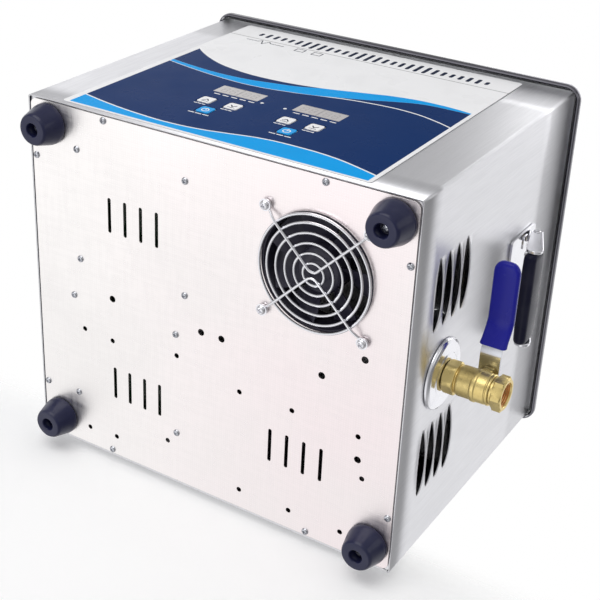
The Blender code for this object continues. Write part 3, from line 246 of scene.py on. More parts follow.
def press_to_hexagon(verts, across_flats, start, end):
    """Presses turned points between two heights on to the flats of a hexagon about Z."""
    for vert in verts:
        radius = math.hypot(vert.co.x, vert.co.y)
        if radius < 0.01 or not start - 0.01 <= vert.co.z <= end + 0.01:
            continue
        angle = math.atan2(vert.co.y, vert.co.x) % (math.pi / 3) - math.pi / 6
        allowed = across_flats / 2 / math.cos(angle)
        if radius > allowed:
            vert.co.x *= allowed / radius
            vert.co.y *= allowed / radius


def turned(profile, steps):
    """A new shape turned about Z from (radius, height) points."""
    shape = bmesh.new()
    knots = [shape.verts.new((max(radius, 0), 0, height)) for radius, height in profile]
    edges = [shape.edges.new(pair) for pair in zip(knots, knots[1:])]
    bmesh.ops.spin(
        shape, geom=knots + edges, cent=(0, 0, 0), axis=(0, 0, 1), dvec=(0, 0, 0),
        angle=2 * math.pi, steps=steps, use_merge=True,
    )
    return shape


def add_turned(bm, profile, place=Matrix(), steps=48, hexagon=None):
    """Adds a turned shape, pressed to (across flats, start, end) of a hexagon if it's given."""
    shape = turned(profile, steps)
    if hexagon:
        press_to_hexagon(shape.verts, *hexagon)
    tidy(shape)
    absorb(bm, shape, place)


def add_wire_ring(bm, radius, thick, place=Matrix(), steps=64, sides=10):
    """A round wire bent to a circle."""
    turns = [2 * math.pi * i / sides for i in range(sides + 1)]
    profile = [(radius + thick * math.cos(t), thick * math.sin(t)) for t in turns]
    add_turned(bm, profile, place, steps)


def add_nut(bm, across_flats, length, bore, place=Matrix()):
    """A hexagon nut with turned corners and a round bore, from Z 0 up."""
    flat, corner = across_flats / 2 * 0.985, across_flats / math.sqrt(3)
    rise = (corner - flat) * 0.55
    bevel = [(flat + (corner - flat) * t, rise * t ** 1.5) for t in (0, 0.35, 0.7, 1)]
    profile = [(bore, 0), *bevel, *[(r, length - z) for r, z in reversed(bevel)]]
    profile += [(bore, length), (bore, 0)]
    add_turned(bm, profile, place, 72, (across_flats, -1, length + 1))


def add_outline(bm, width, depth, radius, place=Matrix(), steps=6):
    """A closed loop of edges: a rounded rectangle, a slot or a circle."""
    half_step = math.pi / 4 / steps
    turned = Matrix.Rotation(half_step, 4, "Z")
    ring = bmesh.ops.create_circle(bm, segments=4 * steps, radius=radius, matrix=turned)["verts"]
    for vert in ring:
        vert.co.x += math.copysign(width / 2 - radius, vert.co.x)
        vert.co.y += math.copysign(depth / 2 - radius, vert.co.y)
    bmesh.ops.transform(bm, matrix=place, verts=ring)
    return list({edge for vert in ring for edge in vert.link_edges})


def add_loft(bm, sections, cap=True, steps=6):
    """A skin over loops, each given as (width, depth, corner radius, place)."""
    loops = [add_outline(bm, *section, steps) for section in sections]
    for first, second in zip(loops, loops[1:]):
        bmesh.ops.bridge_loops(bm, edges=first + second)
    if cap:
        for loop in (loops[0], loops[-1]):
            bmesh.ops.triangle_fill(bm, edges=loop, use_beauty=True)
    return loops


def add_solid_loft(bm, sections, place=Matrix(), steps=6):
    """Adds a closed skin over loops, at its place."""
    shape = bmesh.new()
    add_loft(shape, sections, True, steps)
    tidy(shape)
    absorb(bm, shape, place)


def add_tube(bm, points, radius, sides=10):
    """A round bar along points, with flat ends."""
    shape = bmesh.new()
    points = [Vector(point) for point in points]
    across = None
    loops = []
    for before, point, after in zip([points[0], *points], points, [*points[1:], points[-1]]):
        along = (after - before).normalized()
        across = along.orthogonal() if across is None else across - along * across.dot(along)
        across.normalize()
        turn = Matrix((across, along.cross(across), along)).transposed().to_4x4()
        ring = bmesh.ops.create_circle(
            shape, segments=sides, radius=radius, matrix=Matrix.Translation(point) @ turn
        )["verts"]
        loops.append(list({edge for vert in ring for edge in vert.link_edges}))
    for first, second in zip(loops, loops[1:]):
        bmesh.ops.bridge_loops(shape, edges=first + second)
    for loop in (loops[0], loops[-1]):
        bmesh.ops.triangle_fill(shape, edges=loop, use_beauty=True)
    tidy(shape)
    absorb(bm, shape)


def add_block(bm, size, point, radius=0.0, segments=3, place=Matrix()):
    """A box about a point with its edges rounded."""
    shape = bmesh.new()
    matrix = Matrix.Translation(point) @ Matrix.Diagonal((*size, 1))
    bmesh.ops.create_cube(shape, size=1, matrix=matrix)
    if radius:
        bmesh.ops.bevel(
            shape, geom=shape.edges[:], offset=radius, segments=segments, profile=0.5,
            affect="EDGES", material=-1,
        )
    absorb(bm, shape, place)


def thicken(shape, thick):
    """Raises a flat shape along Z to a slab."""
    grown = bmesh.ops.extrude_face_region(shape, geom=shape.faces[:])["geom"]
    raised = [item for item in grown if isinstance(item, bmesh.types.BMVert)]
    bmesh.ops.translate(shape, vec=(0, 0, thick), verts=raised)


def add_plate(bm, outline, holes, thick, place=Matrix()):
    """A flat sheet with holes. Outline and holes are (width, depth, radius, x, y)."""
    shape = bmesh.new()
    for steps, (width, depth, radius, x, y) in [(8, outline)] + [(7, hole) for hole in holes]:
        steps = 16 if radius > 20 else steps
        add_outline(shape, width, depth, radius, Matrix.Translation((x, y, 0)), steps)
    bmesh.ops.triangle_fill(shape, edges=shape.edges[:], use_beauty=True)
    thicken(shape, thick)
    bmesh.ops.recalc_face_normals(shape, faces=shape.faces)
    absorb(bm, shape, place)


def add_screw_head(bm, radius, height, place):
    """A pan head with a cross recess, standing on Z 0."""
    shares = (0, 0.1, 0.2, 0.3, 0.4, 0.47, 0.55, 0.7, 0.85, 0.95, 1.0)
    profile = [(radius * s, height * math.sqrt(max(0, 1 - s ** 2.6))) for s in shares]
    shape = turned([*profile, (0, 0)], 32)
    recess_reach, recess_half, recess_depth = 0.5 * radius, 0.12 * radius, 0.5 * height
    for vert in shape.verts:
        reach = math.hypot(vert.co.x, vert.co.y)
        angle = math.atan2(vert.co.y, vert.co.x) % (math.pi / 2)
        aside = min(angle, math.pi / 2 - angle) * reach
        if reach < recess_reach and aside < recess_half and vert.co.z > recess_depth:
            vert.co.z -= recess_depth
    tidy(shape)
    absorb(bm, shape, place)


def add_grid(bm, columns, rows, where):
    """A sheet of faces whose corner (column, row) lies at where(column, row)."""
    made = bmesh.ops.create_grid(bm, x_segments=columns, y_segments=rows, size=1)["verts"]
    for vert in made:
        column = round((vert.co.x + 1) / 2 * columns)
        row = round((vert.co.y + 1) / 2 * rows)
        vert.co = where(column, row)
    return made


SHARP_ANGLE = math.radians(35)
BEVEL_ANGLE = math.radians(40)


def place_piece(name, bm, material, body, replaced=(), edge=0.0, sheet=0.0, inner=0):
    """One finished piece: its mesh, materials, the body it rides on and what it stands for.

    An edge above 0 bevels it, a sheet above 0 gives it that thickness, and inner is the step
    from a face's material to that of the sheet's inner side.
    """
    bmesh.ops.scale(bm, vec=(MM, MM, MM), verts=bm.verts)
    mesh = bpy.data.meshes.new(name)
    bm.to_mesh(mesh)
    bm.free()
    for each in material if isinstance(material, list) else [material]:
        mesh.materials.append(each)
    mesh.shade_smooth()
    mesh.set_sharp_from_angle(angle=SHARP_ANGLE)
    made = bpy.data.objects.new(name, mesh)
    bpy.context.scene.collection.objects.link(made)
    if sheet:
        solid = made.modifiers.new("sheet", "SOLIDIFY")
        solid.thickness = sheet * MM
        solid.offset = -1
        solid.material_offset = inner
    if edge:
        bevel = made.modifiers.new("edges", "BEVEL")
        bevel.width = edge * MM
        bevel.segments = 2
        bevel.limit_method = "ANGLE"
        bevel.angle_limit = BEVEL_ANGLE
    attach(made, body)
    if replaced:
        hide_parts(*([replaced] if isinstance(replaced, str) else replaced))
    return made


def coat(node, material):
    """Gives a CAD node that keeps its shape a finished material."""
    shown = frame["nodes"][node]
    shown.data.materials.clear()
    shown.data.materials.append(material)


# ------------------------------------------------------------------ materials

class Finish:
    """A material whose pattern is built up from nodes on object coordinates."""

    def __init__(self, name, colour, roughness, metallic=0.0, **settings):
        self.material = bpy.data.materials.new(name)
        self.material.use_nodes = True
        self.tree = self.material.node_tree
        self.shader = self.tree.nodes["Principled BSDF"]
        self.set("Base Color", (*colour, 1))
        self.set("Roughness", roughness)
        self.set("Metallic", metallic)
        for socket, value in settings.items():
            self.set(socket.replace("_", " ").title().replace("Ior", "IOR"), value)
        self.where = self.tree.nodes.new("ShaderNodeTexCoord").outputs["Object"]

    def set(self, socket, value):
        """Gives the shader's socket a value, or links it to a pattern."""
        self.join(value, self.shader.inputs[socket])

    def join(self, value, socket):
        """Links a socket to a value that is itself a socket, or sets it."""
        if isinstance(value, bpy.types.NodeSocket):
            self.tree.links.new(value, socket)
        else:
            socket.default_value = value

    def node(self, kind, inputs=(), output=0, **settings):
        """A new node's output, with its inputs joined and its settings made."""
        made = self.tree.nodes.new("ShaderNode" + kind)
        for setting, value in settings.items():
            setattr(made, setting, value)
        for socket, value in dict(inputs).items():
            self.join(value, made.inputs[socket])
        return made.outputs[output]

    def stretch(self, scale, shift=(0, 0, 0)):
        """Object coordinates, scaled and then shifted."""
        inputs = {"Vector": self.where, "Scale": scale, "Location": shift}
        return self.node("Mapping", inputs)

    def noise(self, scale, detail=3.0, stretch=None, roughness=0.5):
        """Noise on object coordinates, drawn out along an axis whose stretch is below 1."""
        vector = self.stretch(stretch) if stretch else self.where
        inputs = {"Vector": vector, "Scale": scale, "Detail": detail, "Roughness": roughness}
        return self.node("TexNoise", inputs)

    def sum(self, operation, first, second, third=0.5):
        """The result of one step of arithmetic."""
        inputs = {0: first, 1: second, 2: third}
        return self.node("Math", inputs, operation=operation)

    def span(self, value, start, end, first=0.0, last=1.0, smooth=True):
        """Maps a value from start..end to first..last."""
        inputs = {"Value": value, "From Min": start, "From Max": end, "To Min": first, "To Max": last}
        kind = "SMOOTHSTEP" if smooth else "LINEAR"
        return self.node("MapRange", inputs, interpolation_type=kind)

    def mix(self, factor, first, second):
        """A mix of two colours."""
        made = self.tree.nodes.new("ShaderNodeMix")
        made.data_type = "RGBA"
        self.join(factor, made.inputs[0])
        for value, socket in ((first, made.inputs[6]), (second, made.inputs[7])):
            colour = value if isinstance(value, bpy.types.NodeSocket) else (*value, 1)
            self.join(colour, socket)
        return made.outputs[2]

    def axes(self):
        """The three object coordinates in millimetres."""
        scaled = self.stretch((1 / MM,) * 3)
        made = self.tree.nodes.new("ShaderNodeSeparateXYZ")
        self.tree.links.new(scaled, made.inputs[0])
        return made.outputs[:3]

    def bump(self, height, strength, distance):
        """Roughens the surface by a pattern, at most a distance in millimetres."""
        inputs = {"Height": height, "Strength": strength, "Distance": distance * MM}
        self.set("Normal", self.node("Bump", inputs))


def shade(colour, factor):
    """A colour made darker by a factor."""
    return tuple(value * factor for value in colour)


def linen_steel():
    """Bright sheet with a fine woven roll pattern and long faint streaks, painted shade in the
    weave's hollows and a warmer, darker painted shade towards +X.
    """
    colour = Vector(colours().bottom)
    finish = Finish("linen steel", colour, 0.3, 1.0)
    x, y, _ = finish.axes()
    drift = finish.span(finish.noise(90, 2), 0, 1, -0.5, 0.5, False)
    threads = []
    for axis, pitch in ((x, 2.1), (y, 2.0)):
        wandered = finish.sum("ADD", axis, drift)
        wave = finish.sum("SINE", finish.sum("MULTIPLY", wandered, 2 * math.pi / pitch), 0)
        threads.append(finish.span(wave, -1, 1, 0, 1))
    weave = finish.sum("MULTIPLY", threads[0], threads[1])
    streaks = finish.noise(260, 3, (1, 0.12, 1))
    cross = finish.noise(240, 3, (0.14, 1, 1))
    grain = finish.sum("ADD", streaks, cross)
    pattern = finish.sum("MULTIPLY_ADD", weave, 0.5, finish.span(grain, 0.7, 1.3, 0, 0.5))
    clouds = finish.noise(7, 2)
    # Warmer and darker towards +X: painted shade across the plate.
    painted_warm_shade = finish.mix(finish.span(x, -170, 170), shade(colour, 0.99), tint(244, 232, 233))
    tone = finish.mix(finish.span(clouds, 0.35, 0.7, 0, 0.5), painted_warm_shade, shade(colour, 0.9))
    # Darker lines where the weave is low: painted shade in the weave's hollows.
    tone = finish.mix(finish.span(pattern, 0.1, 0.75, 0.11, 0), tone, shade(colour, 0.55))
    finish.set("Base Color", tone)
    finish.set("Roughness", finish.span(grain, 0.6, 1.4, 0.26, 0.42))
    finish.bump(pattern, 0.26, 0.12)
    return finish.material


def brushed_steel(name="brushed steel", colour=None, stretch=(1, 1, 0.03), roughness=(0.3, 0.42)):
    """Satin sheet, brushed along one direction, with faint clouding."""
    colour = Vector(colour or colours().housing)
    finish = Finish(name, colour, 0.34, 1.0)
    lines = finish.noise(900, 3, stretch, 0.7)
    broad = finish.noise(120, 2, stretch)
    clouds = finish.noise(6, 3)
    tone = finish.mix(finish.span(lines, 0.3, 0.7, 0.0, 0.22), colour, shade(colour, 0.72))
    tone = finish.mix(finish.span(broad, 0.35, 0.7, 0.0, 0.16), tone, shade(colour, 0.8))
    tone = finish.mix(finish.span(clouds, 0.4, 0.7, 0, 0.14), tone, shade(colour, 0.85))
    finish.set("Base Color", tone)
    finish.set("Roughness", finish.span(lines, 0.2, 0.8, *roughness))
    finish.bump(lines, 0.12, 0.02)
    return finish.material


def polished(name, colour, roughness=0.1, wear=0.08):
    """Plated or polished metal with faint smears and specks."""
    colour = Vector(colour)
    finish = Finish(name, colour, roughness, 1.0)
    smears = finish.noise(55, 4)
    specks = finish.noise(700, 2)
    tone = finish.mix(finish.span(smears, 0.4, 0.75, 0, wear), colour, shade(colour, 0.6))
    tone = finish.mix(finish.span(specks, 0.66, 0.75, 0, wear), tone, shade(colour, 0.5))
    finish.set("Base Color", tone)
    finish.set("Roughness", finish.span(smears, 0.3, 0.8, roughness, roughness + 0.12))
    finish.bump(specks, 0.05, 0.02)
    return finish.material


def cast_brass(name="brass", roughness=0.27, bump=0.12):
    """Forged brass, lightly pitted, tarnished a little in its hollows."""
    colour = Vector(colours().brass)
    finish = Finish(name, colour, roughness, 1.0)
    pits = finish.noise(420, 4, None, 0.6)
    tarnish = finish.noise(70, 3)
    tone = finish.mix(finish.span(tarnish, 0.4, 0.75, 0, 0.35), colour, tint(206, 178, 104))
    tone = finish.mix(finish.span(pits, 0.25, 0.42, 0.2, 0), tone, tint(160, 126, 66))
    finish.set("Base Color", tone)
    finish.set("Roughness", finish.span(pits, 0.3, 0.7, roughness + 0.14, roughness))
    finish.bump(pits, bump, 0.12)
    return finish.material


DUST = Vector((0.6, 0.6, 0.65))
COAT_ROUGHNESS = 0.08


def moulded(name, colour, roughness, grain, scale, coat=0.0, wear=0.05, shine=0.25):
    """Moulded plastic, rubber or print: fine grain, faint dust and uneven gloss."""
    colour = Vector(colour)
    finish = Finish(
        name, colour, roughness, coat_weight=coat, coat_roughness=COAT_ROUGHNESS,
        specular_ior_level=shine,
    )
    fine = finish.noise(scale, 3)
    broad = finish.noise(40, 3)
    dusty = finish.span(broad, 0.4, 0.75, 0, 0.8)
    finish.set("Base Color", finish.mix(dusty, colour, colour.lerp(DUST, wear)))
    finish.set("Roughness", finish.span(broad, 0.3, 0.75, roughness - 0.05, roughness + 0.08))
    finish.bump(fine, grain, 0.05)
    return finish.material


def board_finish():
    """Lacquered circuit board: green tracks over a darker ground."""
    green = Vector(tint(22, 92, 48))
    finish = Finish("circuit board", green, 0.35, coat_weight=0.3)
    cells = finish.node("TexVoronoi", {"Vector": finish.where, "Scale": 260}, distance="MANHATTAN")
    tracks = finish.span(cells, 0.28, 0.34)
    pads = finish.span(finish.noise(500, 1), 0.62, 0.66)
    tone = finish.mix(tracks, green, shade(green, 0.5))
    finish.set("Base Color", finish.mix(pads, tone, tint(190, 190, 180)))
    finish.bump(tracks, 0.3, 0.1)
    return finish.material


def transducer_finish():
    """Machined aluminium with the ring of ceramic between its two masses."""
    metal = Vector(tint(196, 198, 202))
    finish = Finish("transducer", metal, 0.32, 1.0)
    z = finish.axes()[2]
    ring_foot, ring_top, soft = low("transducer_1").z + 18.0, low("transducer_1").z + 29.0, 0.1
    above = finish.span(z, ring_foot - soft, ring_foot + soft)
    below = finish.span(z, ring_top + soft, ring_top - soft)
    ring = finish.sum("MULTIPLY", above, below)
    turning = finish.noise(1500, 2, (0.05, 0.05, 1))
    tone = finish.mix(finish.span(turning, 0.3, 0.7, 0, 0.3), metal, shade(metal, 0.7))
    finish.set("Base Color", finish.mix(ring, tone, tint(70, 66, 62)))
    finish.set("Metallic", finish.span(ring, 0, 1, 1, 0))
    finish.bump(turning, 0.2, 0.05)
    return finish.material


CURVE_START = -150.0
CURVE_SPAN = 300.0


def curve_height(finish, across, points):
    """Height of a smooth line over the panel, through its (x, z) points."""
    made = finish.tree.nodes.new("ShaderNodeFloatCurve")
    line = made.mapping.curves[0]
    pairs = [((x - CURVE_START) / CURVE_SPAN, z / CURVE_SPAN) for x, z in points]
    while len(line.points) < len(pairs):
        line.points.new(0.5, 0.5)
    for point, (x, z) in zip(line.points, pairs):
        point.location = (x, z)
        point.handle_type = "AUTO"
    made.mapping.update()
    share = finish.sum("DIVIDE", finish.sum("SUBTRACT", across, CURVE_START), CURVE_SPAN)
    finish.join(share, made.inputs["Value"])
    return finish.sum("MULTIPLY", made.outputs[0], CURVE_SPAN)


# Lines of the printed waves, each through (x, z) points from the left edge to the right.
FIELD_TOP = (
    (-150, 194), (-110, 165), (-80, 155), (-45, 152), (0, 158), (40, 171), (65, 179), (97, 183),
    (150, 176),
)
BAND_TOP = (
    (-150, 148), (-110, 141), (-90, 139), (-60, 140), (-35, 145), (-10, 152), (30, 176),
    (60, 200), (150, 240),
)
BAND_LINE = (
    (-150, 143), (-110, 134), (-75, 129), (-45, 128), (-10, 134), (15, 141), (40, 147.5),
    (65, 151), (85, 151.5), (110, 147), (150, 129),
)
BAND_FOOT = (
    (-150, 143), (-110, 134), (-75, 129), (-45, 128), (-10, 134), (15, 141), (27, 146),
    (50, 156), (70, 166), (90, 174), (110, 176), (150, 175),
)
LOW_LINE = (
    (-150, 28.5), (-110, 19.5), (-80, 15.5), (-50, 14), (-20, 17), (0, 22), (27, 29), (60, 31),
    (90, 29), (115, 23), (150, 11),
)
FIELD_SIDES = (-141.05, 132.55)
FIELD_FOOT = 5.8
FIELD_LEAST_TOP = 90.0
RULE_FOOT, RULE_TOP = 244.0, 245.0
LINE_HALF = 0.9
PRINT_BLUR = 0.25


def panel_film():
    """Printed film: navy field with light waves and white lines, on white."""
    chosen = colours()
    white, navy, blue = Vector(chosen.white), Vector(chosen.navy), Vector(chosen.blue)
    finish = Finish("panel film", white, 0.34, specular_ior_level=0.02)
    x, _, z = finish.axes()

    def above(level, offset=0.0):
        raised = finish.sum("ADD", level, offset)
        return finish.span(finish.sum("SUBTRACT", z, raised), -PRINT_BLUR, PRINT_BLUR)

    def below(level, offset=0.0):
        return finish.sum("SUBTRACT", 1.0, above(level, offset))

    def both(first, second):
        return finish.sum("MULTIPLY", first, second)

    top, band_top, line, foot, bottom = [
        curve_height(finish, x, points)
        for points in (FIELD_TOP, BAND_TOP, BAND_LINE, BAND_FOOT, LOW_LINE)
    ]
    tone = finish.mix(both(below(top, LINE_HALF), above(band_top, -LINE_HALF)), white, navy)
    tone = finish.mix(both(below(band_top, -LINE_HALF), above(foot)), tone, blue)
    tone = finish.mix(both(below(foot), above(line, LINE_HALF)), tone, navy)
    tone = finish.mix(both(below(line, -0.7), above(bottom, 0.8)), tone, navy)
    tone = finish.mix(below(bottom, -0.8), tone, blue)
    tone = finish.mix(both(above(top, -LINE_HALF), above(FIELD_LEAST_TOP)), tone, white)
    left, right = FIELD_SIDES
    inside = both(
        finish.span(x, left - PRINT_BLUR, left + PRINT_BLUR),
        finish.span(x, right + PRINT_BLUR, right - PRINT_BLUR),
    )
    tone = finish.mix(both(inside, above(FIELD_FOOT)), white, tone)
    tone = finish.mix(both(above(RULE_FOOT), below(RULE_TOP)), tone, shade(white, 0.35))
    clouds = finish.span(finish.noise(30, 3), 0.45, 0.75, 0, 0.04)
    finish.set("Base Color", finish.mix(clouds, tone, (0, 0, 0)))
    finish.set("Roughness", finish.span(finish.noise(25, 3), 0.3, 0.8, 0.26, 0.36))
    finish.bump(finish.noise(700, 3), 0.08, 0.05)
    return finish.material


# ------------------------------------------------------------------ operators

def louvre_cuts():
    """Heights at which the side is slit, one for each louvre of a group."""
    return [LOUVRE_FIRST + LOUVRE_PITCH * number for number in range(LOUVRES)]


def wall_columns():
    """(x, y) along the folded sheet, from its left back corner round the front to the right."""
    right = []
    for centre_y, first in ((FRONT + BODY_CORNER, -90), (BACK - BODY_CORNER, 0)):
        for step in range(6):
            angle = math.radians(first + 90 * step / 5)
            x = SIDE - BODY_CORNER + BODY_CORNER * math.cos(angle)
            right.append((x, centre_y + BODY_CORNER * math.sin(angle)))
        if first < 0:
            for centre in LOUVRE_GROUPS:
                right.append((SIDE, centre - LOUVRE_HALF - 1.5))
                for step in range(LOUVRE_COLUMNS + 1):
                    y = centre - LOUVRE_HALF * math.cos(math.pi * step / LOUVRE_COLUMNS)
                    right.append((SIDE, y))
                right.append((SIDE, centre + LOUVRE_HALF + 1.5))
    return [(-x, y) for x, y in reversed(right)] + right


def wall_rows():
    """Heights of the sheet's rows, close together round the louvres."""
    rows = [0.0, louvre_cuts()[0] - 7]
    for cut in louvre_cuts():
        foot, hood = cut - LOUVRE_CUT_HALF, cut + LOUVRE_CUT_HALF
        rows += [foot - LOUVRE_LIP * share for share in (1, 0.86, LOUVRE_OPEN, 0.4, 0)]
        rows += [hood + LOUVRE_RISE * step / 8 for step in range(9)]
    kept = []
    for z in [*rows, rows[-1] + 2, *PLAIN_ROWS, WALL_TOP]:
        if not kept or z - kept[-1] > 0.1:
            kept.append(z)
    return kept


def louvre_at(y, z):
    """The cut height and the arch, 1 in its middle and 0 at its ends, of the louvre at a place."""
    for centre in LOUVRE_GROUPS:
        along = abs(y - centre) / LOUVRE_HALF
        for cut in louvre_cuts():
            if along < 1.001 and cut - LOUVRE_LIP - 0.6 < z < cut + LOUVRE_RISE + 0.4:
                return cut, max(0.0, 1 - along ** 2)
    return None, 0.0


def pressed(x, y, z):
    """A point of the side, pressed out into a louvre's hood, or in and down at its lip."""
    cut, arch = louvre_at(y, z)
    if cut is None:
        return x, y, z
    foot = cut - LOUVRE_CUT_HALF
    over, under = (z - cut - LOUVRE_CUT_HALF) / LOUVRE_RISE, (foot - z) / LOUVRE_LIP
    if over > -0.01:
        out = sizes().louvre_reach / MM * arch ** 0.7 * math.cos(math.pi / 2 * over) ** 2
    else:
        out = -sizes().louvre_dip / MM * arch * max(0.0, 1 - under) ** 1.5
        z = foot - LOUVRE_LIP * (under * arch ** 0.6 if under < 0.99 else 1.0)
    return x + math.copysign(out, x), y, z


class CLEANER_OT_housing(bpy.types.Operator):
    """Folded housing with its pressed louvres"""

    bl_idname = "cleaner.housing"
    bl_label = "Housing"
    bl_options = {"REGISTER", "UNDO"}

    def execute(self, context):
        columns, rows = wall_columns(), wall_rows()
        bm = bmesh.new()
        add_grid(
            bm, len(columns) - 1, len(rows) - 1,
            lambda column, row: (*columns[column], rows[row]),
        )
        slits = []
        for face in bm.faces:
            centre = face.calc_center_median()
            at_cut = any(-LOUVRE_LIP * LOUVRE_OPEN < centre.z - cut < 0.3 for cut in louvre_cuts())
            in_group = any(abs(centre.y - y) < LOUVRE_HALF for y in LOUVRE_GROUPS)
            if at_cut and in_group and abs(centre.x) > SIDE - 0.01:
                slits.append(face)
        bmesh.ops.delete(bm, geom=slits, context="FACES")
        for vert in bm.verts:
            if abs(vert.co.x) > SIDE - 0.01:
                vert.co = pressed(*vert.co)
        steel = brushed_steel("brushed housing steel")
        # Near-black inner side of the sheet: painted shade inside the housing, seen through the
        # louvres.
        painted_shade_inner = moulded("unlit inner face", tint(30, 31, 44), 0.6, 0.05, 700, 0.0, 0.02)
        place_piece(
            "folded_housing", bm, [steel, painted_shade_inner], "machine", "housing_wrap",
            sheet=SHEET, inner=1,
        )
        bm = bmesh.new()
        inner, flange = SIDE - SHEET - 0.2, 14.0
        add_plate(
            bm, (2 * inner, 2 * (BACK - SHEET - 0.4), 2.0, 0, 0),
            [(2 * (inner - flange), 2 * (BACK - SHEET - flange), 2.0, 0, 0)], SHEET,
            at((0, 0, SHEET + 0.4)),
        )
        place_piece("bottom_flange", bm, steel, "machine")
        return {"FINISHED"}


def slot_holes():
    """The three groups of ventilation slots, as (width, depth, radius, x, y)."""
    chosen = sizes()
    width, length = chosen.slot_width / MM, chosen.slot_length / MM
    pitch = chosen.slot_pitch / MM
    return [
        (width, length, width / 2 - 0.01, x + pitch * (number - (SLOTS - 1) / 2), y)
        for x, y in SLOT_GROUPS
        for number in range(SLOTS)
    ]


SLOT_GROUPS = ((-74.0, -75.0), (-72.0, 84.5), (87.5, 85.5))
SLOTS = 4
LARGE_HOLE, SMALL_HOLE = 3.0, 2.25
LARGE_HOLES = ((-97, 2), (-5.5, 3.5), (14.5, 3), (108, 3.5), (144, -23), (144, 67))
SMALL_HOLES = (
    (-30, 34), (-128.5, 41), (-98, 43), (33, 46), (83, 45), (143, 46), (149, 83),
    (-39.5, 122), (-126.5, 142), (-96, 140.5), (35, 142), (84, 142), (133, 142),
)
FLANGE_SCREWS = (
    (-102, -156), (102, -156), (-101, 156), (101, 156), (-174, -110), (-174, 110),
    (174, -110), (174, 110),
)
BOARD_SCREWS = (
    (-130.5, -125), (-22, -125), (-130.5, -26), (-22, -25),
    (-139, 11), (-31, 14), (-138, 109), (-30, 110.5),
)


class CLEANER_OT_bottom(bpy.types.Operator):
    """Bottom plate with its slots and holes, and the small screws in it"""

    bl_idname = "cleaner.bottom"
    bl_label = "Bottom plate"
    bl_options = {"REGISTER", "UNDO"}

    def execute(self, context):
        size = size_of("bottom_plate")
        holes = [(2 * FAN_OPENING, 2 * FAN_OPENING, FAN_OPENING, *FAN)]
        holes += slot_holes()
        for radius, spots in ((LARGE_HOLE, LARGE_HOLES), (SMALL_HOLE, SMALL_HOLES)):
            holes += [(2 * radius, 2 * radius, radius, x, y) for x, y in spots]
        bm = bmesh.new()
        add_plate(bm, (size.x, size.y, 6.0, 0, 0), holes, SHEET)
        place_piece(
            "linen_bottom_plate", bm, linen_steel(), "machine", "bottom_plate",
            edge=0.2,
        )
        zinc = polished("zinc screws", colours().zinc, 0.2, 0.3)
        bm = bmesh.new()
        radius = sizes().screw_radius / MM
        for number, (x, y) in enumerate([*FLANGE_SCREWS, *BOARD_SCREWS]):
            add_screw_head(bm, radius, SCREW_HEIGHT, at((x, y, 0), "-Z", 27.0 * number))
        place_piece("bottom_screws", bm, zinc, "machine")
        return {"FINISHED"}


class CLEANER_OT_feet(bpy.types.Operator):
    """Four rubber feet, each with the screw in its recess"""

    bl_idname = "cleaner.feet"
    bl_label = "Feet"
    bl_options = {"REGISTER", "UNDO"}

    def execute(self, context):
        rubber = moulded("foot rubber", colours().rubber, 0.34, 0.12, 1200, 0.22, 0.03)
        zinc = polished("foot screws", colours().zinc, 0.25, 0.3)
        for place in ("front_left", "front_right", "rear_left", "rear_right"):
            node = f"foot_{place}"
            base, end = high(node).z, low(node).z
            wide = size_of(node).x / 2
            profile = softened([
                (2.4, base, 0), (wide - 0.6, base, 0), (wide, base - 1.0, 0),
                (wide - 0.2, base - 4.2, 0), (13.6, end + 2.2, 0), (12.2, end, 0),
                (6.2, end, 0), (5.6, end + 0.8, 0), (5.4, end + 9, 0), (2.4, end + 9, 0),
            ], 0.9)
            centre = middle(node)
            bm = bmesh.new()
            profile = [(point.x, point.y) for point in profile]
            add_turned(bm, [*profile, (2.4, base)], at((centre.x, centre.y, 0)))
            place_piece(f"rubber_foot_{place}", bm, rubber, "machine", node)
            screw = f"foot_screw_{place}"
            bm = bmesh.new()
            add_screw_head(bm, 4.2, 2.8, at((centre.x, centre.y, low(screw).z + 3.0), "-Z", 20))
            place_piece(f"recessed_screw_{place}", bm, zinc, "machine", screw)
        return {"FINISHED"}


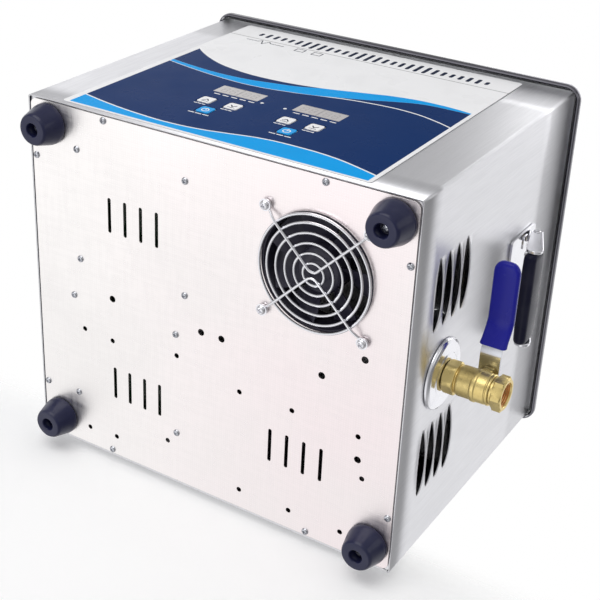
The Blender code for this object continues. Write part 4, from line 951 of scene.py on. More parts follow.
class CLEANER_OT_tank(bpy.types.Operator):
    """Deep-drawn tank with its hemmed rim"""

    bl_idname = "cleaner.tank"
    bl_label = "Tank and rim"
    bl_options = {"REGISTER", "UNDO"}

    def execute(self, context):
        hem = (
            (3.0, -3.4), (3.0, -6.3), (3.6, -7.2), (4.7, -7.7), (5.7, -7.4), (6.3, -6.5),
            (6.5, -5.3), (6.5, -3.0), (6.15, -1.4), (5.2, -0.35), (3.6, 0.0),
        )
        sections = []
        for out, down in hem:
            size = (2 * (SIDE + out), 2 * (BACK + out), 7.5 + out)
            sections.append((*size, at((0, 0, RIM_TOP + down))))
        width, depth, corner, fillet, mouth = TANK_WIDTH, TANK_DEPTH, 20.0, 10.0, 3.0
        for step in range(6):
            angle = math.pi / 2 * step / 5
            grow = 2 * mouth * (1 - math.sin(angle))
            z = RIM_TOP - mouth * (1 - math.cos(angle))
            sections.append((width + grow, depth + grow, corner + grow / 2, at((0, 0, z))))
        for step in range(7):
            angle = math.pi / 2 * step / 6
            shrink = 2 * fillet * (1 - math.cos(angle))
            z = TANK_FLOOR + fillet * (1 - math.sin(angle))
            size = (width - shrink, depth - shrink, corner - shrink / 2)
            sections.append((*size, at((0, 0, z))))
        bm = bmesh.new()
        loops = add_loft(bm, sections, False, 9)
        hole = add_outline(bm, 18, 18, 9, at((DRAIN_HOLE.x, DRAIN_HOLE.y, TANK_FLOOR)), 8)
        bmesh.ops.triangle_fill(bm, edges=loops[-1] + hole, use_beauty=True)
        bmesh.ops.recalc_face_normals(bm, faces=bm.faces)
        floor = min(bm.faces, key=lambda face: face.calc_center_median().z)
        if floor.normal.z < 0:
            bmesh.ops.reverse_faces(bm, faces=bm.faces)
        # The hem's outer and lower faces take the darker rim steel: painted shade under the rim.
        for face in bm.faces:
            centre = face.calc_center_median()
            outside = abs(centre.x) > SIDE + 2 or abs(centre.y) > BACK + 2
            face.material_index = int(outside and centre.z < RIM_TOP - 0.2)
        steel = brushed_steel("tank steel", colours().tank, (1, 1, 0.05), (0.24, 0.36))
        rim = polished("rim steel, painted shade", colours().rim, 0.16, 0.12)
        place_piece("tank_and_rim", bm, [steel, rim], "machine", "tank", sheet=1.0)
        bm = bmesh.new()
        profile = [(9.0, -0.6), (9.0, 0.0), (11.0, 0.5), (14.0, 0.3), (14.6, 0.0), (14.6, -0.6)]
        profile.append(profile[0])
        add_turned(bm, profile, at((DRAIN_HOLE.x, DRAIN_HOLE.y, TANK_FLOOR + 0.65)))
        place_piece("drain_flange", bm, steel, "machine")
        return {"FINISHED"}


BLADE_ROOT = 18.0
BLADE_TIP = FAN_BORE - 1.6
GUARD_Z = -3.7
EYE, EYE_Z = 3.3, -1.6
GUARD_RINGS = (9.0, 17.0, 25.0, 33.0, 41.0, FAN_OPENING - 0.6)
GUARD_BEND = 6.0


def add_blade(bm, turn, centre_z, place):
    """A fan blade, pitched, swept and cambered, at a turn about the hub."""
    def lie(column, row):
        out, chord = column / 10, row / 5 - 1
        radius = BLADE_ROOT + (BLADE_TIP - BLADE_ROOT) * out
        angle = turn + math.radians(chord * (22 - 3 * out) + 10 * out)
        z = centre_z + chord * (7.6 - 1.2 * out) + 1.6 * (1 - chord ** 2)
        return radius * math.cos(angle), radius * math.sin(angle), z

    blade = bmesh.new()
    add_grid(blade, 10, 10, lie)
    bmesh.ops.solidify(blade, geom=blade.faces[:], thickness=1.3)
    tidy(blade)
    absorb(bm, blade, place)


class CLEANER_OT_fan(bpy.types.Operator):
    """Fan frame, rotor with curved blades, and the wire guard with its screws"""

    bl_idname = "cleaner.fan"
    bl_label = "Fan and guard"
    bl_options = {"REGISTER", "UNDO"}

    def execute(self, context):
        base, top = low("fan_frame").z, high("fan_frame").z
        centre = (*FAN, 0)
        plastic = moulded("fan plastic", colours().fan, 0.42, 0.1, 900, 0.1, 0.1)
        bm = bmesh.new()
        corners = [(x, y) for x in (-FAN_SCREW, FAN_SCREW) for y in (-FAN_SCREW, FAN_SCREW)]
        holes = [(2 * FAN_BORE + 1, 2 * FAN_BORE + 1, FAN_BORE + 0.5, 0, 0)]
        holes += [(5, 5, 2.5, x, y) for x, y in corners]
        side = size_of("fan_frame").x
        for z in (base, top - 4):
            add_plate(bm, (side, side, 5, 0, 0), holes, 4, at((*FAN, z)))
        ring = [(FAN_BORE, base + 0.05), (FAN_BORE + 2, base + 0.05)]
        ring += [(FAN_BORE + 2, top - 0.05), (FAN_BORE, top - 0.05), ring[0]]
        add_turned(bm, ring, at(centre), 64)
        for number in range(3):
            turn = at((*FAN, 0), "Z", 30 + 120 * number)
            add_block(bm, (30, 5, 3), (32.5, 0, top - 1.6), 0.8, 2, turn)
        bearing = [(3, top - 3), (20, top - 3), (20, top), (3, top), (3, top - 3)]
        add_turned(bm, bearing, at(centre))
        place_piece("moulded_fan_frame", bm, plastic, "machine", "fan_frame")

        bm = bmesh.new()
        start, end = low("fan_rotor").z, high("fan_frame").z - 4.5
        hub = softened([
            (0, start + 0.6, 0), (8.5, start + 0.6, 0), (9.5, start, 0), (17, start, 0),
            (19, start + 2, 0), (19, end, 0), (0, end, 0),
        ], 0.8)
        add_turned(bm, [(p.x, p.y) for p in hub], at(centre))
        blades = sizes().blades
        for number in range(blades):
            add_blade(bm, 2 * math.pi * number / blades, (start + end) / 2, at(centre))
        place_piece("moulded_fan_rotor", bm, plastic, "fan_rotor", "fan_rotor")
        self.make_guard()
        return {"FINISHED"}

    def make_guard(self):
        """Rings, two crossed wires bent to four eyes, and the screws through them."""
        wire = sizes().wire_radius / MM
        chrome = polished("guard wire", colours().chrome, 0.14, 0.1)
        wire_z = GUARD_Z - 1.5 * wire
        bm = bmesh.new()
        for radius in GUARD_RINGS:
            add_wire_ring(bm, radius, wire, at((*FAN, GUARD_Z)), 72)
        knee = FAN_OPENING / math.sqrt(2) + 1.5
        tip = FAN_SCREW - EYE / math.sqrt(2)
        for side in (-1, 1):
            run = [(-tip, side * tip, EYE_Z), (-knee, side * knee, wire_z)]
            for step in range(9):
                angle = math.radians(225 + 90 * step / 8)
                y = GUARD_BEND * (math.sqrt(2) + math.sin(angle))
                run.append((GUARD_BEND * math.cos(angle), side * y, wire_z))
            run += [(knee, side * knee, wire_z), (tip, side * tip, EYE_Z)]
            run = softened(run, 3.0)
            add_tube(bm, [Vector((*FAN, 0)) + Vector(point) for point in run], wire)
        for x in (-FAN_SCREW, FAN_SCREW):
            for y in (-FAN_SCREW, FAN_SCREW):
                add_wire_ring(bm, EYE, wire, at((FAN.x + x, FAN.y + y, EYE_Z)), 32)
        place_piece("wire_guard", bm, chrome, "machine", "fan_guard")
        zinc = polished("guard screws", colours().chrome, 0.16, 0.15)
        for number in range(1, 5):
            node = f"fan_screw_{number}"
            x, y, _ = middle(node)
            bm = bmesh.new()
            washer = [(2.0, 0), (4.9, 0), (4.9, -0.7), (2.0, -0.7), (2.0, 0)]
            add_turned(bm, washer, at((x, y, EYE_Z - wire - 0.1)), 32)
            add_screw_head(bm, 3.9, 2.4, at((x, y, EYE_Z - wire - 0.8), "-Z", 33 * number))
            add_turned(bm, [(0, 29), (2.0, 29), (2.0, -3.4), (0, -3.4)], at((x, y, 0)), 16)
            place_piece(f"guard_screw_{number}", bm, zinc, "machine", node)


class CLEANER_OT_drain(bpy.types.Operator):
    """Drain disc and the brass ball valve"""

    bl_idname = "cleaner.drain"
    bl_label = "Drain and valve"
    bl_options = {"REGISTER", "UNDO"}

    def execute(self, context):
        brass = cast_brass()
        place = at(DRAIN, "X")
        disc_low = low("drain_escutcheon").x
        bm = bmesh.new()
        disc = softened([
            (9.9, 4.9, 0), (17.5, 4.9, 0), (19, 4.1, 0), (26.5, 3.9, 0), (29.3, 2.4, 0),
            (30, 0.0, 0), (9.9, 0, 0),
        ], 0.8)
        profile = [(p.x, p.y) for p in disc] + [(9.9, 4.9)]
        add_turned(bm, profile, at((disc_low, DRAIN.y, DRAIN.z), "X"), 72)
        chrome = polished("drain disc chrome", colours().chrome, 0.12, 0.1)
        place_piece(
            "chrome_drain_disc", bm, chrome, "machine", "drain_escutcheon"
        )

        bm = bmesh.new()
        start = low("valve_body").x - DRAIN.x
        across_flats, flat, corner = 25.0, 12.35, 14.43
        outer = [
            (9.9, start), (flat, start), (13.6, start + 1.1), (13.6, start + 8.9),
            (flat, start + 10), (11.2, start + 10.1), (11.2, start + 11.2), (12.3, start + 11.8),
            (12.5, start + 13), (12.5, -3.1), (13.2, -2.4), (13.3, 0.4), (12.6, 1.2), (12.5, 8.6),
            (12.1, 9.0), (12.1, 9.7), (12.5, 10.1), (12.5, 11.5), (12.0, 12.0),
        ]
        inner = [(9.7, 12.0), (9.7, -9.0), (0, -9.0), (0, start + 6), (9.9, start + 6), (9.9, start)]
        profile = [(p.x, p.y) for p in softened([(*p, 0) for p in outer], 0.4, 2)] + inner
        add_turned(bm, profile, place, 72, (across_flats, start, start + 10))
        boss = [(3.5, 9.0), (9.2, 9.0), (8.8, 11.4), (8.5, 12.6), (7.9, 13.2), (3.5, 13.2)]
        boss.append(boss[0])
        add_turned(bm, boss, at(DRAIN))
        place_piece("forged_valve_body", bm, brass, "machine", "valve_body")

        bm = bmesh.new()
        end = high("valve_end").x - DRAIN.x
        outer = [
            (9.7, 8.9), (9.65, 12.3), (11.1, 12.3), (11.1, 14.0), (flat, 14.3), (corner, 15.3),
            (corner, end - 1.0), (flat, end), (10.1, end), (9.7, end - 0.6), (9.7, 8.9),
        ]
        add_turned(bm, outer, place, 72, (across_flats, 14.2, end))
        place_piece("forged_valve_end", bm, brass, "machine", "valve_end")
        bm = bmesh.new()
        pitch = 1.6
        teeth = [(8.7 if step % 2 else 9.5, 13 + step * pitch / 2) for step in range(12)]
        profile = [(9.65, 13.0), *teeth, (9.65, teeth[-1][1]), (9.65, 13.0)]
        add_turned(bm, profile, place, 72)
        copper = polished("outlet thread", tint(236, 186, 128), 0.3, 0.3)
        place_piece("outlet_thread", bm, copper, "machine")

        bm = bmesh.new()
        add_nut(bm, 14, 3, 3.5, at((DRAIN.x, DRAIN.y, low("packing_nut").z)))
        place_piece("brass_packing_nut", bm, brass, "machine", "packing_nut")
        coat("drain_locknut", brass)
        coat("drain_pipe", brushed_steel("pipe steel", colours().tank, (1, 1, 1)))
        coat("valve_ball", chrome)
        return {"FINISHED"}


LEVER_HALF = 8.5
LEVER_TIP = 91.0
LEVER_TAIL = -10.0
LEVER_THICK = 2.5
LEVER_CORNER = 7.0
CRANK_START, CRANK_RUN, CRANK_RISE = 20.0, 24.0, 13.0
SLEEVE_START = 26.0
SLEEVE_TIP = LEVER_TIP + 2.2
SLEEVE_WIDE, SLEEVE_THICK = 2 * LEVER_HALF + 4.4, 7.0
SLEEVE_CORNER = 9.5


def lever_height(reach):
    """Height of the lever's middle above the pipe's axis, at a distance from the stem."""
    share = min(1, max(0, (reach - CRANK_START) / CRANK_RUN))
    eased = share * share * (3 - 2 * share) * 0.6 + share * 0.4
    return low("valve_lever").z + LEVER_THICK / 2 - DRAIN.z + CRANK_RISE * eased


class CLEANER_OT_lever(bpy.types.Operator):
    """Valve lever with its dipped sleeve, stem and nut"""

    bl_idname = "cleaner.lever"
    bl_label = "Valve lever"
    bl_options = {"REGISTER", "UNDO"}

    def execute(self, context):
        zinc = polished("lever zinc", colours().zinc, 0.22, 0.25)
        bm = bmesh.new()

        def lie(column, row):
            share = (1 - math.cos(math.pi * row / 64)) / 2
            reach = LEVER_TAIL + (LEVER_TIP - LEVER_TAIL) * share
            from_end = min(LEVER_CORNER, reach - LEVER_TAIL, LEVER_TIP - reach)
            bowed = math.sqrt(max(0, 1 - (1 - from_end / LEVER_CORNER) ** 2))
            half = LEVER_HALF - LEVER_CORNER * (1 - bowed)
            return half * (column / 5 - 1), -reach, lever_height(reach)

        add_grid(bm, 10, 64, lie)
        bmesh.ops.solidify(bm, geom=bm.faces[:], thickness=LEVER_THICK)
        tidy(bm)
        lift = low("valve_lever").z - DRAIN.z - min(vert.co.z for vert in bm.verts)
        bmesh.ops.translate(bm, vec=DRAIN + Vector((0, 0, lift)), verts=bm.verts)
        place_piece(
            "pressed_lever", bm, zinc, "valve_handle", "valve_lever", edge=0.4
        )

        bm = bmesh.new()
        sections = []
        for step in range(31):
            reach = SLEEVE_START + (SLEEVE_TIP - SLEEVE_START) * (1 - (1 - step / 30) ** 1.7)
            left = min(SLEEVE_CORNER, SLEEVE_TIP - reach)
            bowed = math.sqrt(max(0, 1 - (1 - left / SLEEVE_CORNER) ** 2))
            width = SLEEVE_WIDE - 15 * (1 - bowed)
            depth = SLEEVE_THICK * (0.35 + 0.65 * min(1, (left / 3.4)) ** 0.5)
            bead = 1.0 + 0.03 * max(0, 1 - (reach - SLEEVE_START) / 3)
            size = (width * bead, depth * bead, min(width, depth) * 0.47)
            sections.append((*size, at((0, -reach, lever_height(reach)), "-Y")))
        add_solid_loft(bm, sections, at(DRAIN), 7)
        vinyl = moulded("dipped vinyl", colours().vinyl, 0.26, 0.1, 260, 0.08, 0.01, 0.2)
        place_piece("dipped_sleeve", bm, vinyl, "valve_handle", "lever_sleeve")

        bm = bmesh.new()
        nut_z = low("lever_nut").z
        add_nut(bm, 11, 4, 3.3, at((DRAIN.x, DRAIN.y, nut_z)))
        nut_brass = cast_brass("nut brass", 0.2, 0.1)
        place_piece("brass_lever_nut", bm, nut_brass, "valve_handle", "lever_nut")
        bm = bmesh.new()
        foot, top = low("valve_stem").z, high("valve_stem").z
        crest, root, pitch = 3.15, 2.75, 0.8
        stem = [(0, top), (2.6, top)]
        height = nut_z - 2
        while height < top - 1.2:
            stem.insert(2, (crest, height + 0.25))
            stem.insert(2, (root, height + 0.6))
            height += pitch
        stem += [(crest, foot), (0, foot)]
        add_turned(bm, stem, at((DRAIN.x, DRAIN.y, 0)), 32)
        place_piece("threaded_stem", bm, zinc, "valve_handle", "valve_stem")
        return {"FINISHED"}


EAR_AT = 38.7
ARM_AT = 43.5
PIN_AT = 45.0
RIVET_AT = (24, 14)
RIVET_HEAD = ((0, 1.5), (1.6, 1.3), (2.8, 0.7), (3.2, 0), (0, 0))
PIN_HEAD = ((0, 1.0), (2.4, 0.8), (3.4, 0), (0, 0))
ARM_THICK = 3.0
ARM_PIVOT_RADIUS, ARM_GRIP_RADIUS = 5.0, 7.0
ROD_HALF, ROD_RADIUS = 43.0, 2.9


def add_arm(bm, length, place):
    """A bail's arm: a drop-shaped slab from its pin, at the origin, along X to its rod."""
    shape = bmesh.new()
    for radius, along in ((ARM_PIVOT_RADIUS, 0), (ARM_GRIP_RADIUS, length)):
        ring = Matrix.Translation((along, 0, 0))
        bmesh.ops.create_circle(shape, segments=48, radius=radius, matrix=ring)
    hull = bmesh.ops.convex_hull(shape, input=shape.verts[:])
    unused = {item for item in hull["geom_interior"] if isinstance(item, bmesh.types.BMVert)}
    bmesh.ops.delete(shape, geom=list(unused), context="VERTS")
    bmesh.ops.dissolve_limit(shape, angle_limit=0.01, verts=shape.verts, edges=shape.edges)
    thicken(shape, ARM_THICK)
    tidy(shape)
    absorb(bm, shape, place)


class CLEANER_OT_handles(bpy.types.Operator):
    """Folding side handles: plates, bails and grips"""

    bl_idname = "cleaner.handles"
    bl_label = "Side handles"
    bl_options = {"REGISTER", "UNDO"}

    def execute(self, context):
        chrome = polished("handle chrome", colours().chrome, 0.1, 0.08)
        black = moulded("grip plastic", colours().grip, 0.3, 0.06, 500, 0.04, 0.02, 0.15)
        for side, name in ((1, "right"), (-1, "left")):
            self.make_handle(side, name, chrome, black)
        return {"FINISHED"}

    def make_handle(self, side, name, chrome, black):
        """The plate with its ears, the bail and the grip of one side."""
        plate, grip = f"handle_{name}_plate", f"handle_{name}_grip"
        hinge = pivot(f"handle_{name}_lift")
        centre, size = middle(plate), size_of(plate)
        inside = SIDE + GAP
        outwards = "X" if side > 0 else "-X"
        bm = bmesh.new()
        lie = at((side * inside, centre.y, centre.z), outwards)
        add_plate(bm, (size.z, size.y, 4.5, 0, 0), [], 2.0, lie)
        across, down = RIVET_AT
        for end in (-1, 1):
            ear_y = hinge.y + end * EAR_AT
            reach = abs(hinge.x) + 5 - inside - 0.2
            ear_x = side * (inside + 0.2 + reach / 2)
            add_plate(bm, (reach, 10, 4.95, 0, 0), [], 6.0, at((ear_x, ear_y - 3, hinge.z), "Y"))
            add_block(bm, (1.2, 11, 9), (side * (inside + 2.3), ear_y, hinge.z - 12), 0.5)
            for step in (-down, down):
                rivet = (side * (inside + 1.8), hinge.y + end * across, centre.z - 4 + step)
                add_turned(bm, RIVET_HEAD, at(rivet, outwards), 24)
        place_piece(
            f"chrome_plate_{name}", bm, chrome, "machine", plate, edge=0.5
        )

        bm = bmesh.new()
        hold = middle(grip)
        reach = Vector((hold.x - hinge.x, 0, hold.z - hinge.z))
        lean = math.degrees(math.atan2(abs(reach.x), -reach.z))
        tilt = Matrix.Rotation(math.radians(90 - side * lean), 4, "Y")
        for end in (-1, 1):
            arm = Matrix.Translation((hinge.x, hinge.y + end * ARM_AT - ARM_THICK / 2, hinge.z))
            add_arm(bm, reach.length, arm @ tilt @ TOWARDS["Y"])
            pin = (hinge.x, hinge.y + end * (PIN_AT - 0.02), hinge.z)
            add_turned(bm, PIN_HEAD, at(pin, "Y" if end > 0 else "-Y"), 24)
        rod = [(0, -ROD_HALF), (ROD_RADIUS, -ROD_HALF), (ROD_RADIUS, ROD_HALF), (0, ROD_HALF)]
        add_turned(bm, rod, at(hold, "Y"), 24)
        place_piece(
            f"chrome_bail_{name}", bm, chrome, f"handle_{name}",
            f"handle_{name}_bail", edge=0.5,
        )

        bm = bmesh.new()
        size = size_of(grip)
        half = size.y / 2
        sections = []
        for step in range(25):
            along = -math.cos(math.pi * step / 24)
            left = half * (1 - abs(along))
            edge = math.sqrt(max(0.0, 1 - (1 - min(1, left / 4.0)) ** 2))
            crown = 1 - 0.05 * along ** 2
            thick = (size.x - 5) * crown + 5 * edge
            tall = (size.z - 6) * crown + 6 * edge
            place = at((hold.x, hinge.y + along * half, hold.z), "Y")
            sections.append((thick * crown, tall * crown, thick * crown * 0.49, place))
        add_solid_loft(bm, sections, Matrix(), 8)
        place_piece(f"oval_grip_{name}", bm, black, f"handle_{name}", grip)


PRINT_PROUD = 0.06
PRINT_THICK = 0.1
DIGITS = (-14.5, -6.5, 6.5, 14.5)
DIGIT_HALF = 4.6
SEGMENT = 0.7
KEY_WINDOW = (14.4, 14.8, 2.0)
KEY_FACE = (12.2, 12.7, 2.2)
MARK_PROUD = 0.05
TITLE_Z, TITLE_START, TITLE_END = 257.5, -120.0, 111.0
TITLE_BARS, TITLE_BAR_WIDTH = 29, 3.6
ZIGZAG = (
    (-124, 238), (-112, 238), (-109, 242), (-105, 233), (-101, 241.5), (-98, 238), (-84, 238),
)
FRAME_MARKS = ((-70, 234), (-52, 234))
FRAME_MARK_WIDE, FRAME_MARK_HIGH = 9, 7
LINE_WIDTH = 0.9
DOTS = ((-15, 96), (7, 96))


def add_flat(bm, width, height, radius, x, z, front, thick):
    """A thin rounded shape on the front, centred on X and Z, whose face lies at Y front."""
    add_plate(bm, (width, height, radius, 0, 0), [], thick, at((x, front + thick, z), "-Y"))


def paint_from(bm, start, index):
    """Gives every face made since a count the material of that index."""
    bm.faces.ensure_lookup_table()
    for face in bm.faces[start:]:
        face.material_index = index


def add_bar(bm, start, end, width, front, thick):
    """A straight stroke on the front between two (x, z) points."""
    start, end = Vector(start), Vector(end)
    along = end - start
    turn = Matrix.Rotation(-math.atan2(along.y, along.x), 4, "Y")
    centre = (start + end) / 2
    place = Matrix.Translation((centre.x, front + thick, centre.y)) @ turn @ TOWARDS["-Y"]
    add_plate(bm, (along.length + width, width, width * 0.49, 0, 0), [], thick, place)


def add_ring_mark(bm, radius, width, x, z, front, thick):
    """A thin ring on the front, or a dot if its inner radius is near 0."""
    ring = [(radius, 0), (radius + width, 0), (radius + width, thick), (radius, thick), (radius, 0)]
    add_turned(bm, ring, at((x, front + thick, z), "-Y"), 32)


def add_display(bm, spot, window, face):
    """A display window, its border strips, dark grey for painted shadow, as material 1 and its unlit
    digits as material 2.
    """
    x, z = spot.x, spot.z
    add_flat(bm, window.x, window.z, 1.2, x, z, face - PRINT_PROUD, 0.3)
    start = len(bm.faces)
    edge_front = face - PRINT_PROUD - 0.04
    for border in (-1, 1):
        edge_z = z + border * (window.z / 2 - 0.5)
        add_flat(bm, window.x - 1, 0.5, 0.2, x, edge_z, edge_front, PRINT_THICK)
    add_flat(bm, 0.8, window.z - 1.5, 0.2, x, z, edge_front, PRINT_THICK)
    paint_from(bm, start, 1)
    start = len(bm.faces)
    digit_front = face - PRINT_PROUD - 0.03
    for digit in DIGITS:
        for down in (-DIGIT_HALF, 0, DIGIT_HALF):
            ends = [(x + digit + reach, z + down) for reach in (-1.6, 1.6)]
            add_bar(bm, *ends, SEGMENT, digit_front, PRINT_THICK)
        for across in (-DIGIT_HALF / 2, DIGIT_HALF / 2):
            for down in (-DIGIT_HALF / 2, DIGIT_HALF / 2):
                ends = [(x + digit + across, z + down + reach) for reach in (-1.4, 1.4)]
                add_bar(bm, *ends, SEGMENT, digit_front, PRINT_THICK)
    paint_from(bm, start, 2)


KEY_MARKS = {
    "key_time_up": "up", "key_heat_up": "up", "key_time_down": "down", "key_heat_down": "down",
    "key_timer_start": "start", "key_heater_start": "start",
}


class CLEANER_OT_panel(bpy.types.Operator):
    """Printed film, display windows, keys and their marks"""

    bl_idname = "cleaner.panel"
    bl_label = "Control panel"
    bl_options = {"REGISTER", "UNDO"}

    def execute(self, context):
        chosen = colours()
        white, navy = Vector(chosen.white), Vector(chosen.navy)
        face = low("control_overlay").y
        size, centre = size_of("control_overlay"), middle("control_overlay")
        bm = bmesh.new()
        holes = [
            (*KEY_WINDOW, middle(node).x - centre.x, middle(node).z - centre.z)
            for node in KEY_MARKS
        ]
        lie = at((centre.x, face + size.y, centre.z), "-Y")
        add_plate(bm, (size.x, size.z, 3.0, 0, 0), holes, size.y, lie)
        place_piece("printed_film", bm, panel_film(), "machine", "control_overlay")

        lens = moulded("display lens", tint(176, 171, 170), 0.12, 0.02, 300, 0.8, 0.1)
        # Dark grey strips along the window's edges: painted shadow.
        shadow = moulded("display edge shadow", tint(126, 124, 128), 0.3, 0.02, 300, 0.3, 0.1)
        faint = moulded("unlit segments", tint(150, 145, 146), 0.2, 0.02, 300, 0.5, 0.1)
        for name in ("left", "right"):
            node = f"display_window_{name}"
            bm = bmesh.new()
            add_display(bm, middle(node), size_of(node), face)
            place_piece(
                f"tinted_window_{name}", bm, [lens, shadow, faint], "machine", node
            )

        pale = moulded("white key print", white, 0.35, 0.08, 700, 0.0, 0.01)
        blue = moulded("blue key print", chosen.blue, 0.35, 0.08, 700, 0.0, 0.01, 0.1)
        ink = moulded("dark print", shade(navy, 0.3), 0.4, 0.05, 700, 0.0, 0.0, 0.05)
        for node, mark in KEY_MARKS.items():
            x, front, z = middle(node).x, low(node).y, middle(node).z
            bm = bmesh.new()
            add_flat(bm, *KEY_FACE, x, z, front, 1.2)
            start = len(bm.faces)
            over = front - MARK_PROUD
            if mark == "start":
                add_ring_mark(bm, 2.5, 0.9, x, z - 0.4, over, PRINT_THICK)
                add_bar(bm, (x, z), (x, z + 3.4), 0.9, over, 0.12)
            else:
                tip = 1.6 if mark == "up" else -1.6
                add_bar(bm, (x - 2.6, z - tip), (x, z + tip), 1.0, over, PRINT_THICK)
                add_bar(bm, (x + 2.6, z - tip), (x, z + tip), 1.0, over, 0.12)
                add_bar(bm, (x - 3.0, z - 3.6), (x + 3.0, z - 3.6), 0.7, over, PRINT_THICK)
            paint_from(bm, start, 1)
            finishes = [blue, pale] if mark == "start" else [pale, ink]
            place_piece(f"printed_{node}", bm, finishes, node, node)
        self.make_print(face, pale, ink)
        return {"FINISHED"}

    def make_print(self, face, pale, ink):
        """Neutral strokes in place of words: a wave burst as the title, dashes as captions."""
        over, thick = face - MARK_PROUD, PRINT_THICK
        bm = bmesh.new()
        for number in range(TITLE_BARS):
            share = number / (TITLE_BARS - 1)
            swell = math.sin(math.pi * share) ** 0.5 * (0.62 + 0.38 * math.cos(8.2 * math.pi * share))
            half = 2.2 + 6.6 * abs(swell)
            x = TITLE_START + (TITLE_END - TITLE_START) * share
            ends = [(x, TITLE_Z - half), (x, TITLE_Z + half)]
            add_bar(bm, *ends, TITLE_BAR_WIDTH, over, thick)
        for start, end in zip(ZIGZAG, ZIGZAG[1:]):
            add_bar(bm, start, end, LINE_WIDTH, over, thick)
        for left, foot in FRAME_MARKS:
            right, top = left + FRAME_MARK_WIDE, foot + FRAME_MARK_HIGH
            for z in (foot, top):
                add_bar(bm, (left, z), (right, z), LINE_WIDTH, over, thick)
            for x in (left, right):
                add_bar(bm, (x, foot), (x, top), LINE_WIDTH, over, thick)
        place_piece("title_strokes", bm, ink, "machine")

        bm = bmesh.new()
        for node in KEY_MARKS:
            spot = middle(node)
            wide = 8.0 if "start" in node else 3.6
            for number in (-1, 0, 1):
                x, z = spot.x + number * (wide * 0.72 + 1.2), spot.z - 10.2
                add_bar(bm, (x - wide * 0.3, z), (x + wide * 0.3, z), 1.3, over, thick)
        for node in ("display_window_left", "display_window_right"):
            spot = middle(node)
            for number in range(5):
                x, z = spot.x - 17 + number * 8.4, spot.z - 12.6
                add_bar(bm, (x, z), (x + 4.6, z), 1.5, over, thick)
        for x, z in DOTS:
            add_ring_mark(bm, 0.05, 1.4, x, z, over - 0.1, 0.2)
        place_piece("caption_dashes", bm, pale, "machine")


def add_box_walls(shape, size, centre, start, end, cap=False):
    """A box's walls along Y between two depths; size is its (width, height, corner)."""
    sections = [(*size, at((centre.x, depth, centre.z), "-Y")) for depth in (start, end)]
    return add_loft(shape, sections, cap)


INLET_OUTSIDE, INLET_SOCKET = (48, 27, 5), (23, 16, 3)
INLET_SCREW = 20
SWITCH_OUTSIDE, SWITCH_WINDOW = (17, 26, 1.5), (11, 20, 0.8)
BEZEL = 2.0
ROCKER_TILT = math.radians(-9)
ROCKER_FACE = 3.25


